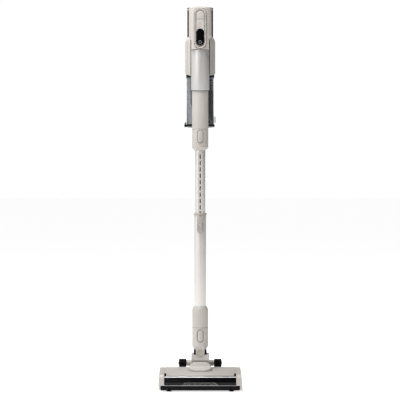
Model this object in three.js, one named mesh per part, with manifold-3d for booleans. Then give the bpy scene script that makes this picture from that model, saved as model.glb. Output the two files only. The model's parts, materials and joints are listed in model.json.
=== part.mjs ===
// A cordless stick vacuum cleaner, parked upright on its floor head.
// Millimetres, +Z up, and the front of the vacuum faces -Y. The parts are made about the wand's axis
// (X = 0, Y = 0) with the floor at Z = 0. The finished group is then moved along Y, so that the origin
// lies on the floor under the middle of the object's box.
import * as THREE from "three";
import { mergeVertices } from "three/addons/utils/BufferGeometryUtils.js";
import Module from "manifold-3d";

const wasm = await Module();
wasm.setup();

// ---------------------------------------------------------------- driving dimensions
const GAP = 0.3; // left between two pieces that touch
const FRONT_REACH = 78; // the floor head's front, ahead of the wand's axis
const REAR_REACH = 178; // the handle's back, behind the wand's axis

const HEAD_HALF = 122; // half the floor head's width
const CAP_HALF = 105; // where the head's end caps begin
const BUMPER_HALF = 115.5;
const PLATE = { bottom: 3, top: 6.5, rear: 11 };
const BRUSH = { y: -50, z: 25, radius: 23.7, core: 15, half: 98, journal: 3 };
const WINDOW = { radius: 28, wall: 2, from: -14.5, to: 47 }; // degrees round the brush's axis
const TRIM = { from: 35, to: 40.5, proud: 1.3 };
const BUMPER = { wall: 3, from: -53, to: -16.5 };
const FRONT_ROLLER = { x: 91, y: -69.5, radius: 4, half: 6, pin: 1.2 };
const PITCH = { y: 10, z: 26, barrel: 18, half: 25, pin: 3.1 }; // the neck leans back about this X axis
const NECK_ROLLER = { y: 40, z: 63.3, radius: 12.7, inner: 41.5, outer: 64.5, axle: 2.4 };
const TAIL = { half: 17, end: 76 }; // the foot that reaches back under the neck
const BELT = { motorY: -1.5, motorZ: 34, motorPulley: 5, brushPulley: 12, from: 99.5, to: 103.5 };
const SWIVEL = { z: 105, drum: 19.4, half: 17.4, cheek: 24, disc: 12.9, cap: 9.2 }; // about this Y axis
const YOKE = { half: 25, shoulder: 26.5, plate: -22.2, front: -17.5, back: 17.5, top: 98.6 };

const JOINT_R = 24.2; // outer radius of the couplings
const SPIGOT_R = 19.7;
const SOCKET_R = SPIGOT_R + 0.4;
const AIRWAY_R = 15.5;
const SPIGOT_LENGTH = 42;
const SOCKET = { foot: 113.2, footHalf: 16.5, bottom: 122.5, floor: 134, top: 178.3 };
const OUTER_TUBE = { radius: 17.6, wall: 1.5, bottom: 206, top: 513 };
const INNER_TUBE = { radius: 15.4, wall: 2.4, bottom: 395, top: 727 };
const COLLAR = { radius: 19.2, bottom: 511.8, top: 518.6 };
const LOWER_COUPLER = { straight: 229.5, top: 241 };
const UPPER_COUPLER = { bottom: 705.8, straight: 714.7, top: 767.9 };
const TRACK = { flat: -13.9, top: 700 };
const NOTCH = { pitch: 18.75, count: 15, first: 686, half: 1.7, height: 12.8 };
const LOCK = { half: 9.6, bottom: 457, top: 510, front: -22.4 };
const KEY = { half: 8.4, gap: 0.4, proud: 1.5 };
const NECK_KEY = { bottom: 137, top: 172.6 };
const WAND_KEY = { bottom: 727, top: 765 };

const BODY_Y = 66; // axis of the bin, motor and filter, behind the wand
const BIN = { radius: 41.5, wall: 2, bottom: 787, top: 929.5 };
const LID = { radius: 44.6, bottom: 780, hinge: 783.4, barrel: 3.4 };
const HOUSING = { radius: 46, wall: 2.6, front: 931, side: 943.5, straight: 1037, top: 1052 };
const FILTER = { radius: 39.4, inner: 31, top: 1138.4 };
const TOP_CAP = { radius: 39.8, bottom: 1138.7, top: 1142, frontTop: 1139.3 };
const PIPE = { radius: 27, wall: 2.4, bottom: 881.6, sideBottom: 886.5, top: 1003, back: 14 };
const SLEEVE_TOP = 925;
const COVER = { half: 34, waist: 26.5, front: -30, back: 24, wall: 2.5, frontTop: 1129, backTop: 1138 };
const PANEL = { half: 17, inner: 11.9, bottom: 1006, top: 1124, rim: 5.4, front: -33, floor: -27, back: -25 };
const DISPLAY = { half: 11.5, bottom: 1015, top: 1064 };
const KEY_SPLIT = 1091.8; // between the mode key and the power key
const BATTERY = { front: 117, back: 176, half: 25, bottom: 862, top: 940, wall: 1.8 };
const CELL = { radius: 9, pitchX: 19, pitchY: 18.4 };

// ---------------------------------------------------------------- materials
const material = (color, roughness, metalness = 0) =>
  new THREE.MeshStandardMaterial({ color, roughness, metalness });
const BEIGE = material(0xd3cec6, 0.5);
const WARM_GREY = material(0xb9b2a9, 0.5);
const SILVER = material(0xd8d8d8, 0.3, 0.35);
const ALUMINIUM = material(0xe4e4e2, 0.28, 0.8);
const STEEL = material(0x9a9a9a, 0.35, 1);
const BLACK = material(0x17171a, 0.45);
const RUBBER = material(0x1c1c20, 0.8);
const SMOKE = new THREE.MeshStandardMaterial({
  color: 0x3a3b40,
  roughness: 0.08,
  transparent: true,
  opacity: 0.45,
});
const FILTER_GREY = material(0x45464a, 0.6);
const BRISTLE = material(0x2b2b31, 0.9);
const COPPER = material(0xb0723c, 0.35, 1);

// ---------------------------------------------------------------- solids
// A closed geometry as a manifold-3d solid, turned to face outwards.
function solidOf(geometry) {
  const plain = geometry.index ? geometry.toNonIndexed() : geometry.clone();
  const bare = new THREE.BufferGeometry().setAttribute("position", plain.getAttribute("position"));
  const merged = mergeVertices(bare, 1e-4);
  const faces = [];
  for (let i = 0; i < merged.index.count; i += 3) {
    const [a, b, c] = [0, 1, 2].map((k) => merged.index.getX(i + k));
    if (a !== b && b !== c && c !== a) faces.push([a, b, c]);
  }
  const build = (list) =>
    new wasm.Manifold(
      new wasm.Mesh({
        numProp: 3,
        vertProperties: merged.attributes.position.array,
        triVerts: new Uint32Array(list.flat()),
      }),
    );
  const solid = build(faces);
  return solid.volume() < 0 ? build(faces.map(([a, b, c]) => [a, c, b])) : solid;
}

function geometryOf(solid) {
  const { numProp, numVert, vertProperties, triVerts } = solid.getMesh();
  const positions = new Float32Array(numVert * 3);
  for (let i = 0; i < numVert; i += 1) {
    positions.set(vertProperties.subarray(i * numProp, i * numProp + 3), i * 3);
  }
  const geometry = new THREE.BufferGeometry();
  geometry.setAttribute("position", new THREE.BufferAttribute(positions, 3));
  geometry.setIndex(new THREE.BufferAttribute(new Uint32Array(triVerts), 1));
  geometry.computeVertexNormals();
  return geometry;
}

const join = (first, ...rest) => rest.reduce((all, one) => all.add(one), first);
const cut = (first, ...rest) => rest.reduce((all, one) => all.subtract(one), first);

// A closed [radius, z] profile turned about the vertical line at (x, y).
function lathe(profile, segments = 24, x = 0, y = 0) {
  const points = profile.map(([r, z]) => new THREE.Vector2(r, z));
  if (profile.some(([r]) => r > 0) && profile[0][0] > 0) points.push(points[0].clone());
  const geometry = new THREE.LatheGeometry(points, segments);
  return solidOf(geometry.rotateX(Math.PI / 2).translate(x, y, 0));
}

const rod = (radius, z0, z1, segments = 24, x = 0, y = 0) =>
  lathe([[0, z0], [radius, z0], [radius, z1], [0, z1]], segments, x, y);

const ring = (outer, inner, z0, z1, segments = 24, x = 0, y = 0) =>
  lathe([[inner, z0], [outer, z0], [outer, z1], [inner, z1]], segments, x, y);

// The same, lying along X through (y, z), or along Y through (x, z).
const rodX = (radius, x0, x1, y, z, segments = 16) =>
  solidOf(
    new THREE.CylinderGeometry(radius, radius, x1 - x0, segments)
      .rotateZ(Math.PI / 2)
      .translate((x0 + x1) / 2, y, z),
  );
const rodY = (radius, y0, y1, x, z, segments = 16) =>
  solidOf(new THREE.CylinderGeometry(radius, radius, y1 - y0, segments).translate(x, (y0 + y1) / 2, z));

const box = (x0, x1, y0, y1, z0, z1) =>
  solidOf(
    new THREE.BoxGeometry(x1 - x0, y1 - y0, z1 - z0).translate((x0 + x1) / 2, (y0 + y1) / 2, (z0 + z1) / 2),
  );

const outline = (points) => new THREE.Shape(points.map(([a, b]) => new THREE.Vector2(a, b)));
const flatExtrusion = (shape, depth) =>
  new THREE.ExtrudeGeometry(shape, { depth, bevelEnabled: false, curveSegments: 5 });

// An outline drawn in (Y, Z) and extruded along X, one in (X, Z) along Y, and one in (X, Y) along Z.
const SIDEWAYS = new THREE.Matrix4().makeBasis(
  new THREE.Vector3(0, 1, 0),
  new THREE.Vector3(0, 0, 1),
  new THREE.Vector3(1, 0, 0),
);
const extrudeX = (shape, x0, x1) =>
  solidOf(flatExtrusion(shape, x1 - x0).applyMatrix4(SIDEWAYS).translate(x0, 0, 0));
const extrudeY = (shape, y0, y1) =>
  solidOf(flatExtrusion(shape, y1 - y0).rotateX(Math.PI / 2).translate(0, y1, 0));
const extrudeZ = (shape, z0, z1) => solidOf(flatExtrusion(shape, z1 - z0).translate(0, 0, z0));

// An upright pill of half-width `half` between two heights.
function pill(half, low, high) {
  const shape = new THREE.Shape();
  shape.moveTo(-half, low + half);
  shape.absarc(0, low + half, half, Math.PI, 2 * Math.PI, false);
  shape.absarc(0, high - half, half, 0, Math.PI, false);
  return shape;
}

function roundedRectangle(x0, x1, y0, y1, r) {
  const shape = new THREE.Shape();
  shape.absarc(x1 - r, y0 + r, r, -Math.PI / 2, 0, false);
  shape.absarc(x1 - r, y1 - r, r, 0, Math.PI / 2, false);
  shape.absarc(x0 + r, y1 - r, r, Math.PI / 2, Math.PI, false);
  shape.absarc(x0 + r, y0 + r, r, Math.PI, 1.5 * Math.PI, false);
  return shape;
}

const vacuum = new THREE.Group();
function place(name, solid, look, parent = vacuum) {
  const mesh = new THREE.Mesh(geometryOf(solid), look);
  mesh.name = name;
  parent.add(mesh);
}

// ---------------------------------------------------------------- floor head
// A point on a circle about the brush's axis, in (Y, Z), by its angle above the forward direction.
const aroundBrush = (radius, degrees) => {
  const a = THREE.MathUtils.degToRad(degrees);
  return [BRUSH.y - radius * Math.cos(a), BRUSH.z + radius * Math.sin(a)];
};
const arcAroundBrush = (radius, from, to, steps) =>
  Array.from({ length: steps + 1 }, (_, i) => aroundBrush(radius, from + ((to - from) * i) / steps));

// A curved strip between two radii and two angles about the brush's axis.
function strip(outer, inner, from, to, steps, half) {
  const far = arcAroundBrush(outer, from, to, steps);
  const near = arcAroundBrush(inner, from, to, steps).reverse();
  return extrudeX(outline([...far, ...near]), -half, half);
}

const SHELL_TOP = [[-66, 48], [-40, 53.2], [-15, 56.7], [4, 57.6], [10, 56], [14, 50]];
const SHELL_UNDER = [[11.5, 49], [8.5, 53.4], [3.5, 55], [-15, 54.2], [-40, 51.4], [-64, 46.9]];

function headBase() {
  const half = CAP_HALF - 0.5;
  const plate = box(-half, half, -64, PLATE.rear, PLATE.bottom, PLATE.top);
  const mouth = box(-BRUSH.half - 2, BRUSH.half + 2, -70, -16, 0, 20);
  const tail = box(-TAIL.half, TAIL.half, 5, TAIL.end, PLATE.bottom, PLATE.top);
  const rearWall = box(-BRUSH.half, BRUSH.half, -15.8, -13.3, PLATE.bottom, 40);
  const ear = (x) =>
    join(rodX(10, x, x + 4, PITCH.y, PITCH.z), box(x, x + 4, PITCH.y - 10, PITCH.y + 10, 4, PITCH.z));
  const duct = box(-15, 15, -18, -10, 14, 38);
  const base = join(cut(plate, mouth), tail, rearWall, ear(26), ear(-30));
  return cut(base, duct, rodX(PITCH.pin + 0.3, -40, 40, PITCH.y, PITCH.z));
}

function headShell() {
  const lip = [aroundBrush(WINDOW.radius + 0.5, WINDOW.to + 0.8), aroundBrush(WINDOW.radius + 0.7, 52)];
  const rear = [[14, PLATE.top + 0.5], [11.5, PLATE.top + 0.5]];
  const profile = [...lip, ...SHELL_TOP, ...rear, ...SHELL_UNDER, aroundBrush(WINDOW.radius - 2, 49)];
  const shell = extrudeX(outline(profile), -CAP_HALF + GAP, CAP_HALF - GAP);
  return cut(shell, box(-32, 32, -23, 20, 5, 80));
}

// The raised cover over the airway, in front of the neck.
function ductHood(inset) {
  const side = [[-45, 50], [-44, 56.5], [-42, 59.4], [-38, 61.4], [-34, 63.6], [-31, 67.2], [-28, 73], [-25.6, 77],
    [-23.5, 78.6]];
  const front = [[-37.5, 50], [-36.6, 56], [-34, 62], [-30.5, 68.5], [-26, 74.2], [-19, 77.4], [-10, 78.7]];
  const along = side.map(([y, z]) => [y + inset, z - inset]);
  const left = front.map(([x, z]) => [x + inset, z - inset]);
  const right = left.map(([x, z]) => [-x, z]).reverse();
  const foot = 40 - inset;
  const lengthwise = outline([[along[0][0], foot], ...along, [-23.5 + inset, foot]]);
  const across = outline([[left[0][0], foot], ...left, [0, 79 - inset], ...right, [-left[0][0], foot]]);
  const swell = (value) => Math.sign(value) * Math.abs(value) ** 0.8;
  const nose = Array.from({ length: 17 }, (_, i) => (Math.PI * i) / 16).map((a) => [
    (inset - 37.5) * swell(Math.cos(a)), -23.5 - (21.5 - inset) * swell(Math.sin(a)),
  ]);
  const plan = outline([[-37.5 + inset, 5], ...nose, [37.5 - inset, 5]]);
  return extrudeX(lengthwise, -40, 40).intersect(extrudeY(across, -70, 0)).intersect(extrudeZ(plan, 40, 90));
}

function ductCover() {
  const surface = SHELL_TOP.slice(0, 4).map(([y, z]) => [y, z + GAP]);
  const below = outline([[-90, 0], [-90, 43], ...surface, [40, 60], [40, 0]]);
  return cut(ductHood(0), ductHood(2.4), extrudeX(below, -60, 60));
}

function endCap(side) {
  const front = arcAroundBrush(WINDOW.radius, -46, 52, 12);
  const profile = outline([[-50, PLATE.bottom], ...front, ...SHELL_TOP, [14, PLATE.bottom + 1]]);
  const inside = [[-38, 49], [4, 53], [10, 48], [10, 6]];
  const hollow = outline([[-50, 6], ...arcAroundBrush(25, -40, 60, 8), ...inside]);
  const lean = outline([[-90, 0], [HEAD_HALF, 0], [HEAD_HALF, 22], [HEAD_HALF - 2.5, 70], [-90, 70]]);
  const skin = cut(extrudeX(profile, CAP_HALF, HEAD_HALF), extrudeX(hollow, CAP_HALF - 1, HEAD_HALF - 5));
  const boss = rodX(7, HEAD_HALF - 9, HEAD_HALF - 4, BRUSH.y, BRUSH.z, 20);
  const bore = rodX(5.2, HEAD_HALF - 10, HEAD_HALF - 5, BRUSH.y, BRUSH.z, 20);
  const rebate = strip(WINDOW.radius + 3, WINDOW.radius - BUMPER.wall - GAP, -70, BUMPER.to + 1.6, 6,
    BUMPER_HALF + GAP);
  const right = cut(join(skin.intersect(extrudeY(lean, -90, 30)), boss), bore, rebate);
  return side > 0 ? right : right.mirror([1, 0, 0]);
}

const frontWindow = () =>
  strip(WINDOW.radius, WINDOW.radius - WINDOW.wall, WINDOW.from, WINDOW.to, 12, CAP_HALF - GAP);

const windowTrim = () =>
  strip(WINDOW.radius + TRIM.proud, WINDOW.radius + GAP, TRIM.from, TRIM.to, 2, CAP_HALF - GAP);

function bumperStrip() {
  const inner = WINDOW.radius - BUMPER.wall;
  const wrap = strip(WINDOW.radius, inner, BUMPER.from, BUMPER.to, 7, BUMPER_HALF);
  const { x, y, radius, half, pin } = FRONT_ROLLER;
  const wells = [-x, x].map((at) => rodX(radius + 0.6, at - half - 0.5, at + half + 0.5, y, radius, 20));
  const pinHoles = [-x, x].map((at) => rodX(pin + 0.3, at - half - 3, at + half + 3, y, radius, 12));
  const ears = [-x, x].flatMap((at) =>
    [-half - 2.3, half + 0.7].map((step) => box(at + step, at + step + 1.6, y - 3.2, y + 3, 2.4, 9)),
  );
  const clear = rodX(inner - 0.4, -120, 120, BRUSH.y, BRUSH.z, 48);
  return cut(join(wrap, ...ears), ...wells, ...pinHoles, clear);
}

function brushCore() {
  const { y, z, core, half, journal } = BRUSH;
  const body = rodX(core, -half, half, y, z, 28);
  const pulley = rodX(BELT.brushPulley, BELT.from, BELT.to, y, z, 24);
  return join(body, pulley, rodX(journal, -half - 18, half + 18, y, z, 16));
}

// The tufts, as the space that they sweep: helical rows of bristles fill it in the finished look.
const brushTufts = () =>
  cut(
    rodX(BRUSH.radius, -BRUSH.half + 2, BRUSH.half - 2, BRUSH.y, BRUSH.z, 28),
    rodX(BRUSH.core + GAP, -BRUSH.half, BRUSH.half, BRUSH.y, BRUSH.z, 28),
  );

const brushBearing = (side) => {
  const from = side > 0 ? HEAD_HALF - 9.5 : -HEAD_HALF + 5.3;
  return cut(rodX(4.9, from, from + 4.2, BRUSH.y, BRUSH.z, 20),
    rodX(BRUSH.journal + GAP, from - 1, from + 5, BRUSH.y, BRUSH.z, 16));
};

// The loop round both pulleys: two arcs joined by their outer tangents.
function beltOutline(offset) {
  const big = [BRUSH.y, BRUSH.z, BELT.brushPulley + offset];
  const small = [BELT.motorY, BELT.motorZ, BELT.motorPulley + offset];
  const heading = Math.atan2(small[1] - big[1], small[0] - big[0]);
  const lean = Math.acos((big[2] - small[2]) / Math.hypot(small[0] - big[0], small[1] - big[1]));
  const arc = ([cy, cz, r], from, to) =>
    Array.from({ length: 11 }, (_, i) => from + ((to - from) * i) / 10).map((a) => [
      cy + r * Math.cos(a),
      cz + r * Math.sin(a),
    ]);
  const over = arc(small, heading - lean, heading + lean);
  return outline([...over, ...arc(big, heading + lean, heading + 2 * Math.PI - lean)]);
}

const driveBelt = () =>
  cut(
    extrudeX(beltOutline(1.9), BELT.from + 0.4, BELT.to - 0.4),
    extrudeX(beltOutline(GAP), BELT.from, BELT.to),
  );

const brushMotor = () =>
  cut(rodX(10.6, 40, 96, BELT.motorY, BELT.motorZ, 24), rodX(2.3, 84, 97, BELT.motorY, BELT.motorZ, 12));

const motorPulley = () =>
  join(
    rodX(BELT.motorPulley, BELT.from, BELT.to, BELT.motorY, BELT.motorZ, 20),
    rodX(2, 85, BELT.from + 1, BELT.motorY, BELT.motorZ, 12),
  );

function frontRoller(side) {
  const { x, y, radius, half, pin } = FRONT_ROLLER;
  const at = side * x;
  return join(rodX(radius, at - half, at + half, y, radius, 20),
    rodX(pin, at - half - 2.2, at + half + 2.2, y, radius, 12));
}

const pitchPin = (side) =>
  join(
    side > 0 ? rodX(PITCH.pin, 12, 30.8, PITCH.y, PITCH.z, 16) : rodX(PITCH.pin, -30.8, -12, PITCH.y, PITCH.z, 16),
    side > 0 ? rodX(5, 30.3, 31.8, PITCH.y, PITCH.z, 16) : rodX(5, -31.8, -30.3, PITCH.y, PITCH.z, 16),
  );

place("head_base", headBase(), BLACK);
place("head_shell", headShell(), BEIGE);
place("duct_cover", ductCover(), BEIGE);
place("front_window", frontWindow(), SMOKE);
place("window_trim", windowTrim(), SILVER);
place("bumper_strip", bumperStrip(), RUBBER);
place("brush_core", brushCore(), BLACK);
place("brush_tufts", brushTufts(), BRISTLE);
place("drive_belt", driveBelt(), RUBBER);
place("brush_motor", brushMotor(), STEEL);
place("motor_pulley", motorPulley(), STEEL);
place("rear_glide_pad", box(-15, 15, 56, 74, 0, PLATE.bottom - GAP), RUBBER);
for (const [name, side] of [["left", -1], ["right", 1]]) {
  place(`${name}_end_cap`, endCap(side), BEIGE);
  place(`${name}_brush_bearing`, brushBearing(side), STEEL);
  place(`${name}_front_roller`, frontRoller(side), BLACK);
  place(`${name}_pitch_pin`, pitchPin(side), STEEL);
}

// ---------------------------------------------------------------- neck
function neckYoke() {
  const stemSide = [[-7, 24], [YOKE.front, 60], [YOKE.front, YOKE.top], [YOKE.back, YOKE.top],
    [YOKE.back, 88], [26, 80], [42, 70], [44, 60], [36, 48], [27, 24]];
  const stem = extrudeX(outline(stemSide), -YOKE.half, YOKE.half);
  const shoulderSide = [[YOKE.front, 76], [YOKE.front, YOKE.top], [YOKE.back, YOKE.top], [20, 76]];
  const shoulders = extrudeX(outline(shoulderSide), -YOKE.shoulder, YOKE.shoulder);
  const plateFace = outline([[-YOKE.shoulder, 72], [YOKE.shoulder, 72], [YOKE.shoulder, YOKE.top - 2.5],
    [YOKE.shoulder - 2.5, YOKE.top], [-YOKE.shoulder + 2.5, YOKE.top], [-YOKE.shoulder, YOKE.top - 2.5]]);
  const discRoom = rodY(SWIVEL.disc + 0.6, -30, YOKE.front, 0, SWIVEL.z, 28);
  const plate = cut(extrudeY(plateFace, YOKE.plate, YOKE.front + 1), discRoom);
  const { y, z, inner, axle } = NECK_ROLLER;
  const stubs = [rodX(9, 20, inner - 0.5, y, z, 24), rodX(9, -inner + 0.5, -20, y, z, 24), rodX(6, -21, 21, y, z, 20)];
  const barrel = rodX(PITCH.barrel, -PITCH.half, PITCH.half, PITCH.y, PITCH.z, 32);
  const airway = [rod(9.5, PITCH.z - 6, YOKE.top + 1, 20), box(-12, 12, -12, 6, 16, 36)];
  const saddle = rodY(SWIVEL.drum + GAP, YOKE.front - GAP, 30, 0, SWIVEL.z, 28);
  const pinBores = rodX(PITCH.pin + 0.3, -30, 30, PITCH.y, PITCH.z, 16);
  const axleBore = rodX(axle + 0.3, -45, 45, y, z, 12);
  return cut(join(stem, shoulders, plate, barrel, ...stubs), ...airway, saddle, pinBores, axleBore);
}

const swivelDrum = () =>
  cut(
    rodY(SWIVEL.drum, -SWIVEL.half, SWIVEL.half, 0, SWIVEL.z, 28),
    rod(9.5, SWIVEL.z - 30, SWIVEL.z + 30, 20),
    rodY(4.3, -20, 20, 0, SWIVEL.z, 16),
  );

// The front pivot: a broad cap with the pin behind it.
const swivelPin = () =>
  join(
    rodY(SWIVEL.cap, -SWIVEL.cheek - 0.3, -SWIVEL.cheek + 1.8, 0, SWIVEL.z, 20),
    rodY(4, -SWIVEL.cheek + 1, -11, 0, SWIVEL.z, 16),
  );

function neckRoller(side) {
  const { y, z, radius, inner, outer, axle } = NECK_ROLLER;
  const [from, to] = side > 0 ? [inner, outer] : [-outer, -inner];
  return cut(rodX(radius, from, to, y, z, 28), rodX(axle + 0.3, from - 1, to + 1, y, z, 12));
}

function rollerAxle() {
  const { y, z, outer, axle } = NECK_ROLLER;
  return join(rodX(axle, -outer - 1, outer + 1, y, z, 12), rodX(4.6, outer + 0.4, outer + 2, y, z, 16),
    rodX(4.6, -outer - 2, -outer - 0.4, y, z, 16));
}

// A pill-shaped pocket for a release key, open to the front.
const keyPocket = ({ bottom, top }, depth) =>
  extrudeY(pill(KEY.half + KEY.gap, bottom - KEY.gap, top + KEY.gap), -30, depth);

const releaseKey = ({ bottom, top }, back) =>
  extrudeY(pill(KEY.half, bottom, top), -JOINT_R - KEY.proud, back).intersect(
    rod(JOINT_R + KEY.proud, bottom - 5, top + 5, 32),
  );

function neckSocket() {
  const { foot, footHalf, bottom, top } = SOCKET;
  const wide = JOINT_R + 1;
  const face = outline([[-footHalf, foot - 0.5], [footHalf, foot - 0.5], [JOINT_R, bottom], [wide, bottom + 1],
    [wide, top + 1], [-wide, top + 1], [-wide, bottom + 1], [-JOINT_R, bottom]]);
  const cup = lathe([[0, foot], [JOINT_R - 1, foot], [JOINT_R, foot + 1], [JOINT_R, top - 0.8], [JOINT_R - 0.8, top],
    [0, top]]).intersect(extrudeY(face, -30, 30));
  const { z, cheek, disc } = SWIVEL;
  const sides = [[-cheek, -18.2], [18.2, cheek]].flatMap(([from, to]) => [
    rodY(disc, from, to, 0, z, 20),
    box(-disc, disc, from, to, z, bottom + 4),
  ]);
  const drumRoom = rodY(SWIVEL.drum + 0.6, -18.2, 18.2, 0, z, 28);
  const capRecess = rodY(SWIVEL.cap + GAP, -cheek - 1, -cheek + 2.1, 0, z, 20);
  const pinHole = rodY(4.3, -cheek + 1, -15, 0, z, 16);
  const trunnion = rodY(4, 11, 20, 0, z, 16);
  const bore = [rod(SOCKET_R, SOCKET.floor, top + 1), rod(10, 100, SOCKET.floor + 1, 20)];
  const body = cut(join(cup, ...sides), drumRoom, capRecess, pinHole, ...bore, keyPocket(NECK_KEY, -19));
  return join(body, trunnion);
}

place("neck_yoke", neckYoke(), BEIGE);
place("swivel_drum", swivelDrum(), BLACK);
place("swivel_pin", swivelPin(), WARM_GREY);
place("neck_socket", neckSocket(), BEIGE);
place("roller_axle", rollerAxle(), STEEL);
place("head_release_key", releaseKey(NECK_KEY, -21.6), BEIGE);
for (const [name, side] of [["left", -1], ["right", 1]]) {
  place(`${name}_neck_roller`, neckRoller(side), BLACK);
}

// ---------------------------------------------------------------- wand
function lowerCoupler() {
  const seat = SOCKET.top + 0.4;
  const { straight, top } = LOWER_COUPLER;
  const bore = OUTER_TUBE.radius + GAP;
  return lathe([[AIRWAY_R, seat - SPIGOT_LENGTH], [SPIGOT_R - 1, seat - SPIGOT_LENGTH],
    [SPIGOT_R, seat - SPIGOT_LENGTH + 2], [SPIGOT_R, seat], [JOINT_R - 0.8, seat], [JOINT_R, seat + 0.8],
    [JOINT_R, straight], [JOINT_R - 2, straight + 6], [18.8, top], [bore, top],
    [bore, OUTER_TUBE.bottom - GAP], [AIRWAY_R, OUTER_TUBE.bottom - GAP]]);
}

const outerTube = () =>
  ring(OUTER_TUBE.radius, OUTER_TUBE.radius - OUTER_TUBE.wall, OUTER_TUBE.bottom, OUTER_TUBE.top);

const tubeCollar = () =>
  lathe([[INNER_TUBE.radius + GAP, OUTER_TUBE.top + GAP], [OUTER_TUBE.radius + GAP, OUTER_TUBE.top + GAP],
    [OUTER_TUBE.radius + GAP, COLLAR.bottom], [COLLAR.radius, COLLAR.bottom], [COLLAR.radius, COLLAR.top - 1],
    [COLLAR.radius - 1, COLLAR.top], [INNER_TUBE.radius + GAP, COLLAR.top]]);

// The thumb slider that frees the telescope: pointed below, with a scoop for the thumb.
function lockSlider() {
  const { half, bottom, top, front } = LOCK;
  const shape = new THREE.Shape();
  shape.moveTo(-half, bottom + 9);
  shape.quadraticCurveTo(-half + 1, bottom + 2, 0, bottom);
  shape.quadraticCurveTo(half - 1, bottom + 2, half, bottom + 9);
  shape.lineTo(half, top - 3);
  shape.quadraticCurveTo(half, top, half - 3, top);
  shape.lineTo(-half + 3, top);
  shape.quadraticCurveTo(-half, top, -half, top - 3);
  const scoop = rodX(17, -6.5, 6.5, front - 14.6, bottom + 18, 32);
  return cut(
    extrudeY(shape, front, -10).intersect(rod(-front, bottom - 1, top + 1, 32)),
    rod(OUTER_TUBE.radius + GAP, bottom - 1, top + 1, 32),
    scoop,
  );
}

function innerTube() {
  const { radius, wall, bottom, top } = INNER_TUBE;
  const tube = ring(radius, radius - wall, bottom, top, 28);
  const trackShape = pill(7, bottom + 8, TRACK.top);
  const track = extrudeY(trackShape, -20, TRACK.flat);
  const notch = (z) => box(-NOTCH.half, NOTCH.half, -20, -10, z - NOTCH.height / 2, z + NOTCH.height / 2);
  const notches = Array.from({ length: NOTCH.count }, (_, i) => notch(NOTCH.first - i * NOTCH.pitch));
  return cut(tube, track, ...notches);
}

function upperCoupler() {
  const { bottom, straight, top } = UPPER_COUPLER;
  const bore = INNER_TUBE.radius + GAP;
  const inner = INNER_TUBE.radius - INNER_TUBE.wall;
  const body = lathe([[bore, bottom], [17.8, bottom], [21.5, bottom + 4], [JOINT_R, straight],
    [JOINT_R, top - 0.8], [JOINT_R - 0.8, top], [SPIGOT_R, top], [SPIGOT_R, top + SPIGOT_LENGTH - 2],
    [SPIGOT_R - 1, top + SPIGOT_LENGTH], [inner, top + SPIGOT_LENGTH], [inner, INNER_TUBE.top + GAP],
    [bore, INNER_TUBE.top + GAP]]);
  return cut(body, keyPocket(WAND_KEY, -19.5));
}

place("wand_lower_coupler", lowerCoupler(), BEIGE);
place("outer_tube", outerTube(), ALUMINIUM);
place("tube_collar", tubeCollar(), SILVER);
place("lock_slider", lockSlider(), WARM_GREY);
place("inner_tube", innerTube(), ALUMINIUM);
place("wand_upper_coupler", upperCoupler(), BEIGE);
place("wand_release_key", releaseKey(WAND_KEY, -22.2), BEIGE);

// ---------------------------------------------------------------- hand unit
function inletSleeve() {
  const bottom = UPPER_COUPLER.top + 0.4;
  const sleeve = lathe([[SOCKET_R, bottom], [JOINT_R - 0.8, bottom], [JOINT_R, bottom + 0.8], [JOINT_R, SLEEVE_TOP],
    [0, SLEEVE_TOP], [0, SLEEVE_TOP - 4], [AIRWAY_R, SLEEVE_TOP - 4], [AIRWAY_R, bottom + SPIGOT_LENGTH + 1],
    [SOCKET_R, bottom + SPIGOT_LENGTH + 1]]);
  return cut(sleeve, box(-9, 9, 12, 30, 886, 904));
}

// The bright half-pipe in front of the sleeve. Its lower edge dips towards the front.
function pipeCover() {
  const { radius, wall, bottom, sideBottom, top, back } = PIPE;
  const pipe = ring(radius, radius - wall, bottom - 1, top, 32);
  const below = outline([[-40, bottom - 20], [-radius, bottom], [0, sideBottom], [40, sideBottom],
    [40, bottom - 20]]);
  return cut(pipe, box(-40, 40, back, 40, bottom - 5, top + 5), extrudeX(below, -40, 40));
}

// The front cover's plan: a flat-sided U, rounded across the front.
function coverPlan(inset, back) {
  const half = COVER.half - inset;
  const front = COVER.front + inset;
  const shape = new THREE.Shape();
  shape.moveTo(half, back);
  shape.lineTo(half, -6);
  shape.bezierCurveTo(half, -20, half - 10, front, 0, front);
  shape.bezierCurveTo(-half + 10, front, -half, -20, -half, -6);
  shape.lineTo(-half, back);
  return shape;
}

function frontCover() {
  const { half, waist, front, back, wall, frontTop, backTop } = COVER;
  const base = PIPE.top + GAP;
  const face = new THREE.Shape();
  face.moveTo(-waist, base);
  face.lineTo(-waist, 1038);
  face.quadraticCurveTo(-waist, 1043, -half, 1047);
  face.lineTo(-half, backTop - 11);
  face.quadraticCurveTo(-half, backTop, -half + 11, backTop);
  face.lineTo(half - 11, backTop);
  face.quadraticCurveTo(half, backTop, half, backTop - 11);
  face.lineTo(half, 1047);
  face.quadraticCurveTo(waist, 1043, waist, 1038);
  face.lineTo(waist, base);
  const top = outline([[front - 1, base - 5], [front - 1, frontTop - 5], [front + 1, frontTop - 1.5],
    [front + 5, frontTop], [back + 1, backTop], [back + 1, base - 5]]);
  const outside = extrudeZ(coverPlan(0, back), base, backTop)
    .intersect(extrudeY(face, front - 1, back + 1))
    .intersect(extrudeX(top, -half - 1, half + 1));
  const room = extrudeZ(coverPlan(wall, back + 2), base - 1, frontTop - 3)
    .intersect(box(-waist + wall, waist - wall, front, back + 3, base - 2, backTop));
  const window = extrudeY(pill(PANEL.half + GAP, PANEL.bottom - GAP, PANEL.top + GAP), -40, -20);
  return cut(outside, room, window);
}

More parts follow.
